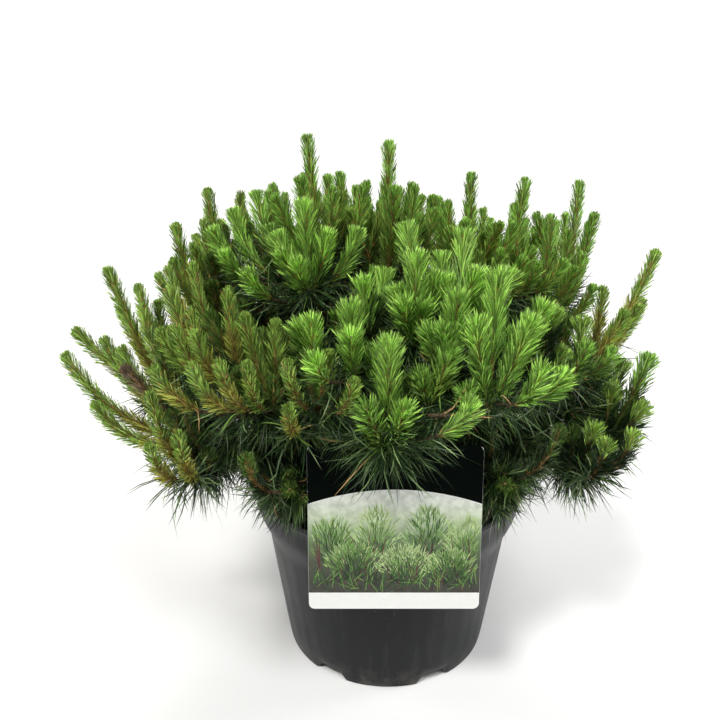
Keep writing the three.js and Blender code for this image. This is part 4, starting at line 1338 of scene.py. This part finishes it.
def flat_panel(low, high, inset, depth, steps=60):
    """A panel of the card between two edges that may curve, inside its rounded outline."""
    half, corner = CARD_HALF - inset, LABEL.corner - inset
    across = np.linspace(-half, half, steps + 1)
    beyond = np.maximum(0, np.abs(across) - (half - corner))
    edge = inset + corner - np.sqrt(np.maximum(0, corner ** 2 - beyond ** 2))
    vertices = np.concatenate([
        np.column_stack([across, up, np.full(steps + 1, depth)])
        for up in (np.maximum(low(across), edge), np.minimum(high(across), LABEL.length - edge))
    ])
    first = np.arange(steps)
    return vertices, np.stack([first, first + 1, first + steps + 2, first + steps + 1], axis=1)


def card_picture():
    """A made-up border of round shrubs, arching grasses and red-brown stalks, in thin strokes."""
    draw = np.random.default_rng(23)
    strokes = {kind: [] for kind in INKS}

    def stroke(kind, foot, length, lean, width, depth):
        along = length * np.array([math.sin(lean), math.cos(lean)])
        aside = np.array([-along[1], along[0]]) / np.hypot(*along) * width / 2
        middle = foot + along * 0.55
        points = np.array([foot - aside * 0.6, foot + aside * 0.6, middle + aside, foot + along,
                           middle - aside])
        across, up = points.T
        inside = ((np.abs(across) < CARD_HALF - PICTURE.beside)
                  & (up > PICTURE.low + PICTURE.above)
                  & (up < picture_top(across) - PICTURE.below))
        if inside.all():
            flat = np.column_stack([points, np.full(5, depth)])
            strokes[kind].append((flat, np.array([(0, 1, 2), (0, 2, 4), (2, 3, 4)])))

    for layer, (x, y, width, height) in enumerate(SHRUBS):
        depth = 1.06 + 0.02 * layer
        for _ in range(SHRUB_LEAVES):
            swing = draw.uniform(-1, 1)
            share = math.sqrt(draw.uniform(0.02, 1))
            foot = np.array([x + width * swing * share * 0.8,
                             y + height * share * math.sqrt(1 - 0.8 * swing ** 2)])
            lean = 0.75 * swing + draw.normal(0, 0.22)
            length = draw.uniform(5, 12)
            light = share + draw.normal(0, 0.18) + 0.25 * (layer % 2)
            kind = LEAVES[int(np.clip(light * 3.2, 0, 3))]
            stroke(kind, foot, length, lean, draw.uniform(0.5, 0.95), depth)
        for _ in range(SHRUB_STALKS):
            lean = draw.normal(0, 0.3)
            foot = np.array([x + draw.uniform(-0.5, 0.5) * width, y - 4 + draw.uniform(0, 6)])
            length = height * draw.uniform(0.45, 0.8)
            stroke("stalk", foot, length, lean, draw.uniform(0.9, 1.5), depth + 0.008)
    for _ in range(GRASS_BLADES):
        foot = np.array([draw.uniform(-82, 82), PICTURE.low + draw.uniform(1, 14)])
        lean = draw.normal(0, 0.7)
        length = draw.uniform(9, 24)
        stroke(GRASSES[draw.integers(3)], foot, length, lean, draw.uniform(0.6, 1.0), 1.22)
    return strokes


def ground_material():
    shader = Shader("print_ground", linear((120, 140, 104)), roughness=0.28, specular=0.5)
    share = shader.spread(shader.height(), *HAZE.heights)
    ramp = shader.node("ShaderNodeValToRGB", {"Fac": share})
    stops = ramp.color_ramp.elements
    for number, (position, colour) in enumerate(HAZE.stops):
        stop = stops[number] if number < 2 else stops.new(position)
        stop.position, stop.color = position, (*linear(colour), 1)
    blotches = shader.spread(shader.noise(120.0, 4.0), 0.4, 0.65, 0.0, 0.3)
    tone = shader.mixed(blotches, ramp.outputs["Color"], linear(HAZE.blotches))
    return shader.finish(tone, shader.spread(shader.noise(70.0, 4.0), 0.3, 0.7, 0.26, 0.38))


def build_card():
    paper = print_material("white_card", (240, 240, 238), 0.03, 0.35)
    header = print_material("header", (4, 10, 7), 0.3, 0.34, 0.02)
    strip = print_material("strip", (232, 232, 229), 0.015, 0.28)
    rings = [card_ring(*ring) for ring in ((0.3, 0.0), (0.0, 0.25), (0.0, 0.75), (0.3, 1.0))]
    middle = LABEL.length / 2
    body, faces = on_card(skin(rings, [(0, middle, 0), (0, middle, 1)]))
    rim = np.arange(len(faces)) < 2 * (len(rings) - 1) * len(rings[0])
    high = body[faces].mean(axis=1)[:, 2] > CARD_LOW + picture_top(CARD_HALF)
    add_piece("card", [(body, faces)], [paper, header], ["label"], False,
              (rim & high).astype(int))
    add_piece("card_tongue", [tongue_body()], [paper], smooth=False)
    panels = {
        "strip": (strip, lambda x: 0 * x, lambda x: 0 * x + PICTURE.low),
        "ground": (ground_material(), lambda x: 0 * x + PICTURE.low, picture_top),
        "header": (header, picture_top, lambda x: 0 * x + LABEL.length),
        "edge_line": (strip, lambda x: picture_top(x) - PICTURE.line,
                      lambda x: picture_top(x) + PICTURE.line),
    }
    for name, (material, low, high) in panels.items():
        place = PICTURE.line_place if name == "edge_line" else PICTURE.panel_place
        add_piece("card_" + name, [on_card(flat_panel(low, high, *place))], [material],
                  smooth=False)
    strokes = card_picture()
    slots = [np.full(3 * len(strokes[kind]), index) for index, kind in enumerate(INKS)]
    add_piece("card_picture", [on_card(part) for parts in strokes.values() for part in parts],
              [print_material(kind, colour) for kind, colour in INKS.items()],
              smooth=False, slots=np.concatenate(slots))


build_card()

# ------------------------------------------------------------------ camera, floor and light

# name, strength, angle, azimuth, elevation and colour
SUNS = [("key", 1.85, 12, -30, 56, (1.0, 0.985, 0.96)),
        ("fill", 1.1, 18, 32, 54, (0.98, 0.99, 1.0)),
        ("back", 1.0, 25, 175, 62, (1.0, 0.985, 0.96))]
# name, place, power; both are as large and aim at the same place
SOFTBOXES = [("left_softbox", (-1.5, 0.25, 0.5), 6), ("right_softbox", (1.5, 0.25, 0.5), 13)]
SOFTBOX_SIZE, SOFTBOX_AIM = (0.5, 1.6), (0, 0, 0.2)
SKY_LIGHT = 0.16
CAMERA = Facts(place=(-0.0314, -0.9239, 0.7619), down=24, lens=46.73, sensor=36, near=0.05,
               far=200)
FLOOR_HALF = 40.0


def placed(name, data, place=(0, 0, 0), turn=(0, 0, 0)):
    item = bpy.data.objects.new(name, data)
    item.location, item.rotation_euler = place, turn
    bpy.context.scene.collection.objects.link(item)
    return item


def build_stage():
    floor = bpy.data.meshes.new("floor")
    floor.from_pydata([(x * FLOOR_HALF, y * FLOOR_HALF, 0)
                       for x, y in ((-1, -1), (1, -1), (1, 1), (-1, 1))], [], [(0, 1, 2, 3)])
    shader = Shader("floor_paper", linear((247, 247, 246)), roughness=0.9, specular=0.1)
    mottle = shader.spread(shader.noise(3.0, 3.0), 0.3, 0.7)
    tone = shader.mixed(mottle, linear((246, 246, 245)), linear((249, 249, 248)))
    floor.materials.append(shader.finish(tone))
    stand = placed("floor", floor)

    world = bpy.data.worlds.new("studio")
    bpy.context.scene.world = world
    world.use_nodes = True
    sky = world.node_tree.nodes["Background"]
    sky.inputs["Color"].default_value = (1.0, 1.0, 1.0, 1)
    sky.inputs["Strength"].default_value = SKY_LIGHT

    for name, strength, angle, azimuth, elevation, colour in SUNS:
        lamp = bpy.data.lights.new(name, "SUN")
        lamp.energy, lamp.angle, lamp.color = strength, math.radians(angle), colour
        placed(name, lamp, turn=(math.radians(90 - elevation), 0, math.radians(azimuth)))
    for name, place, power in SOFTBOXES:
        lamp = bpy.data.lights.new(name, "AREA")
        lamp.shape, lamp.energy = "RECTANGLE", power
        lamp.size, lamp.size_y = SOFTBOX_SIZE
        aim = Vector(SOFTBOX_AIM) - Vector(place)
        box = placed(name, lamp, place, aim.to_track_quat("-Z", "Y").to_euler())
        box.visible_camera = False

    lens = bpy.data.cameras.new("camera")
    lens.sensor_width, lens.lens = CAMERA.sensor, CAMERA.lens
    lens.clip_start, lens.clip_end = CAMERA.near, CAMERA.far
    bpy.context.scene.camera = placed("camera", lens, CAMERA.place,
                                      (math.radians(90 - CAMERA.down), 0, 0))
    view = bpy.context.scene.view_settings
    view.view_transform, view.look = "Standard", "None"


build_stage()
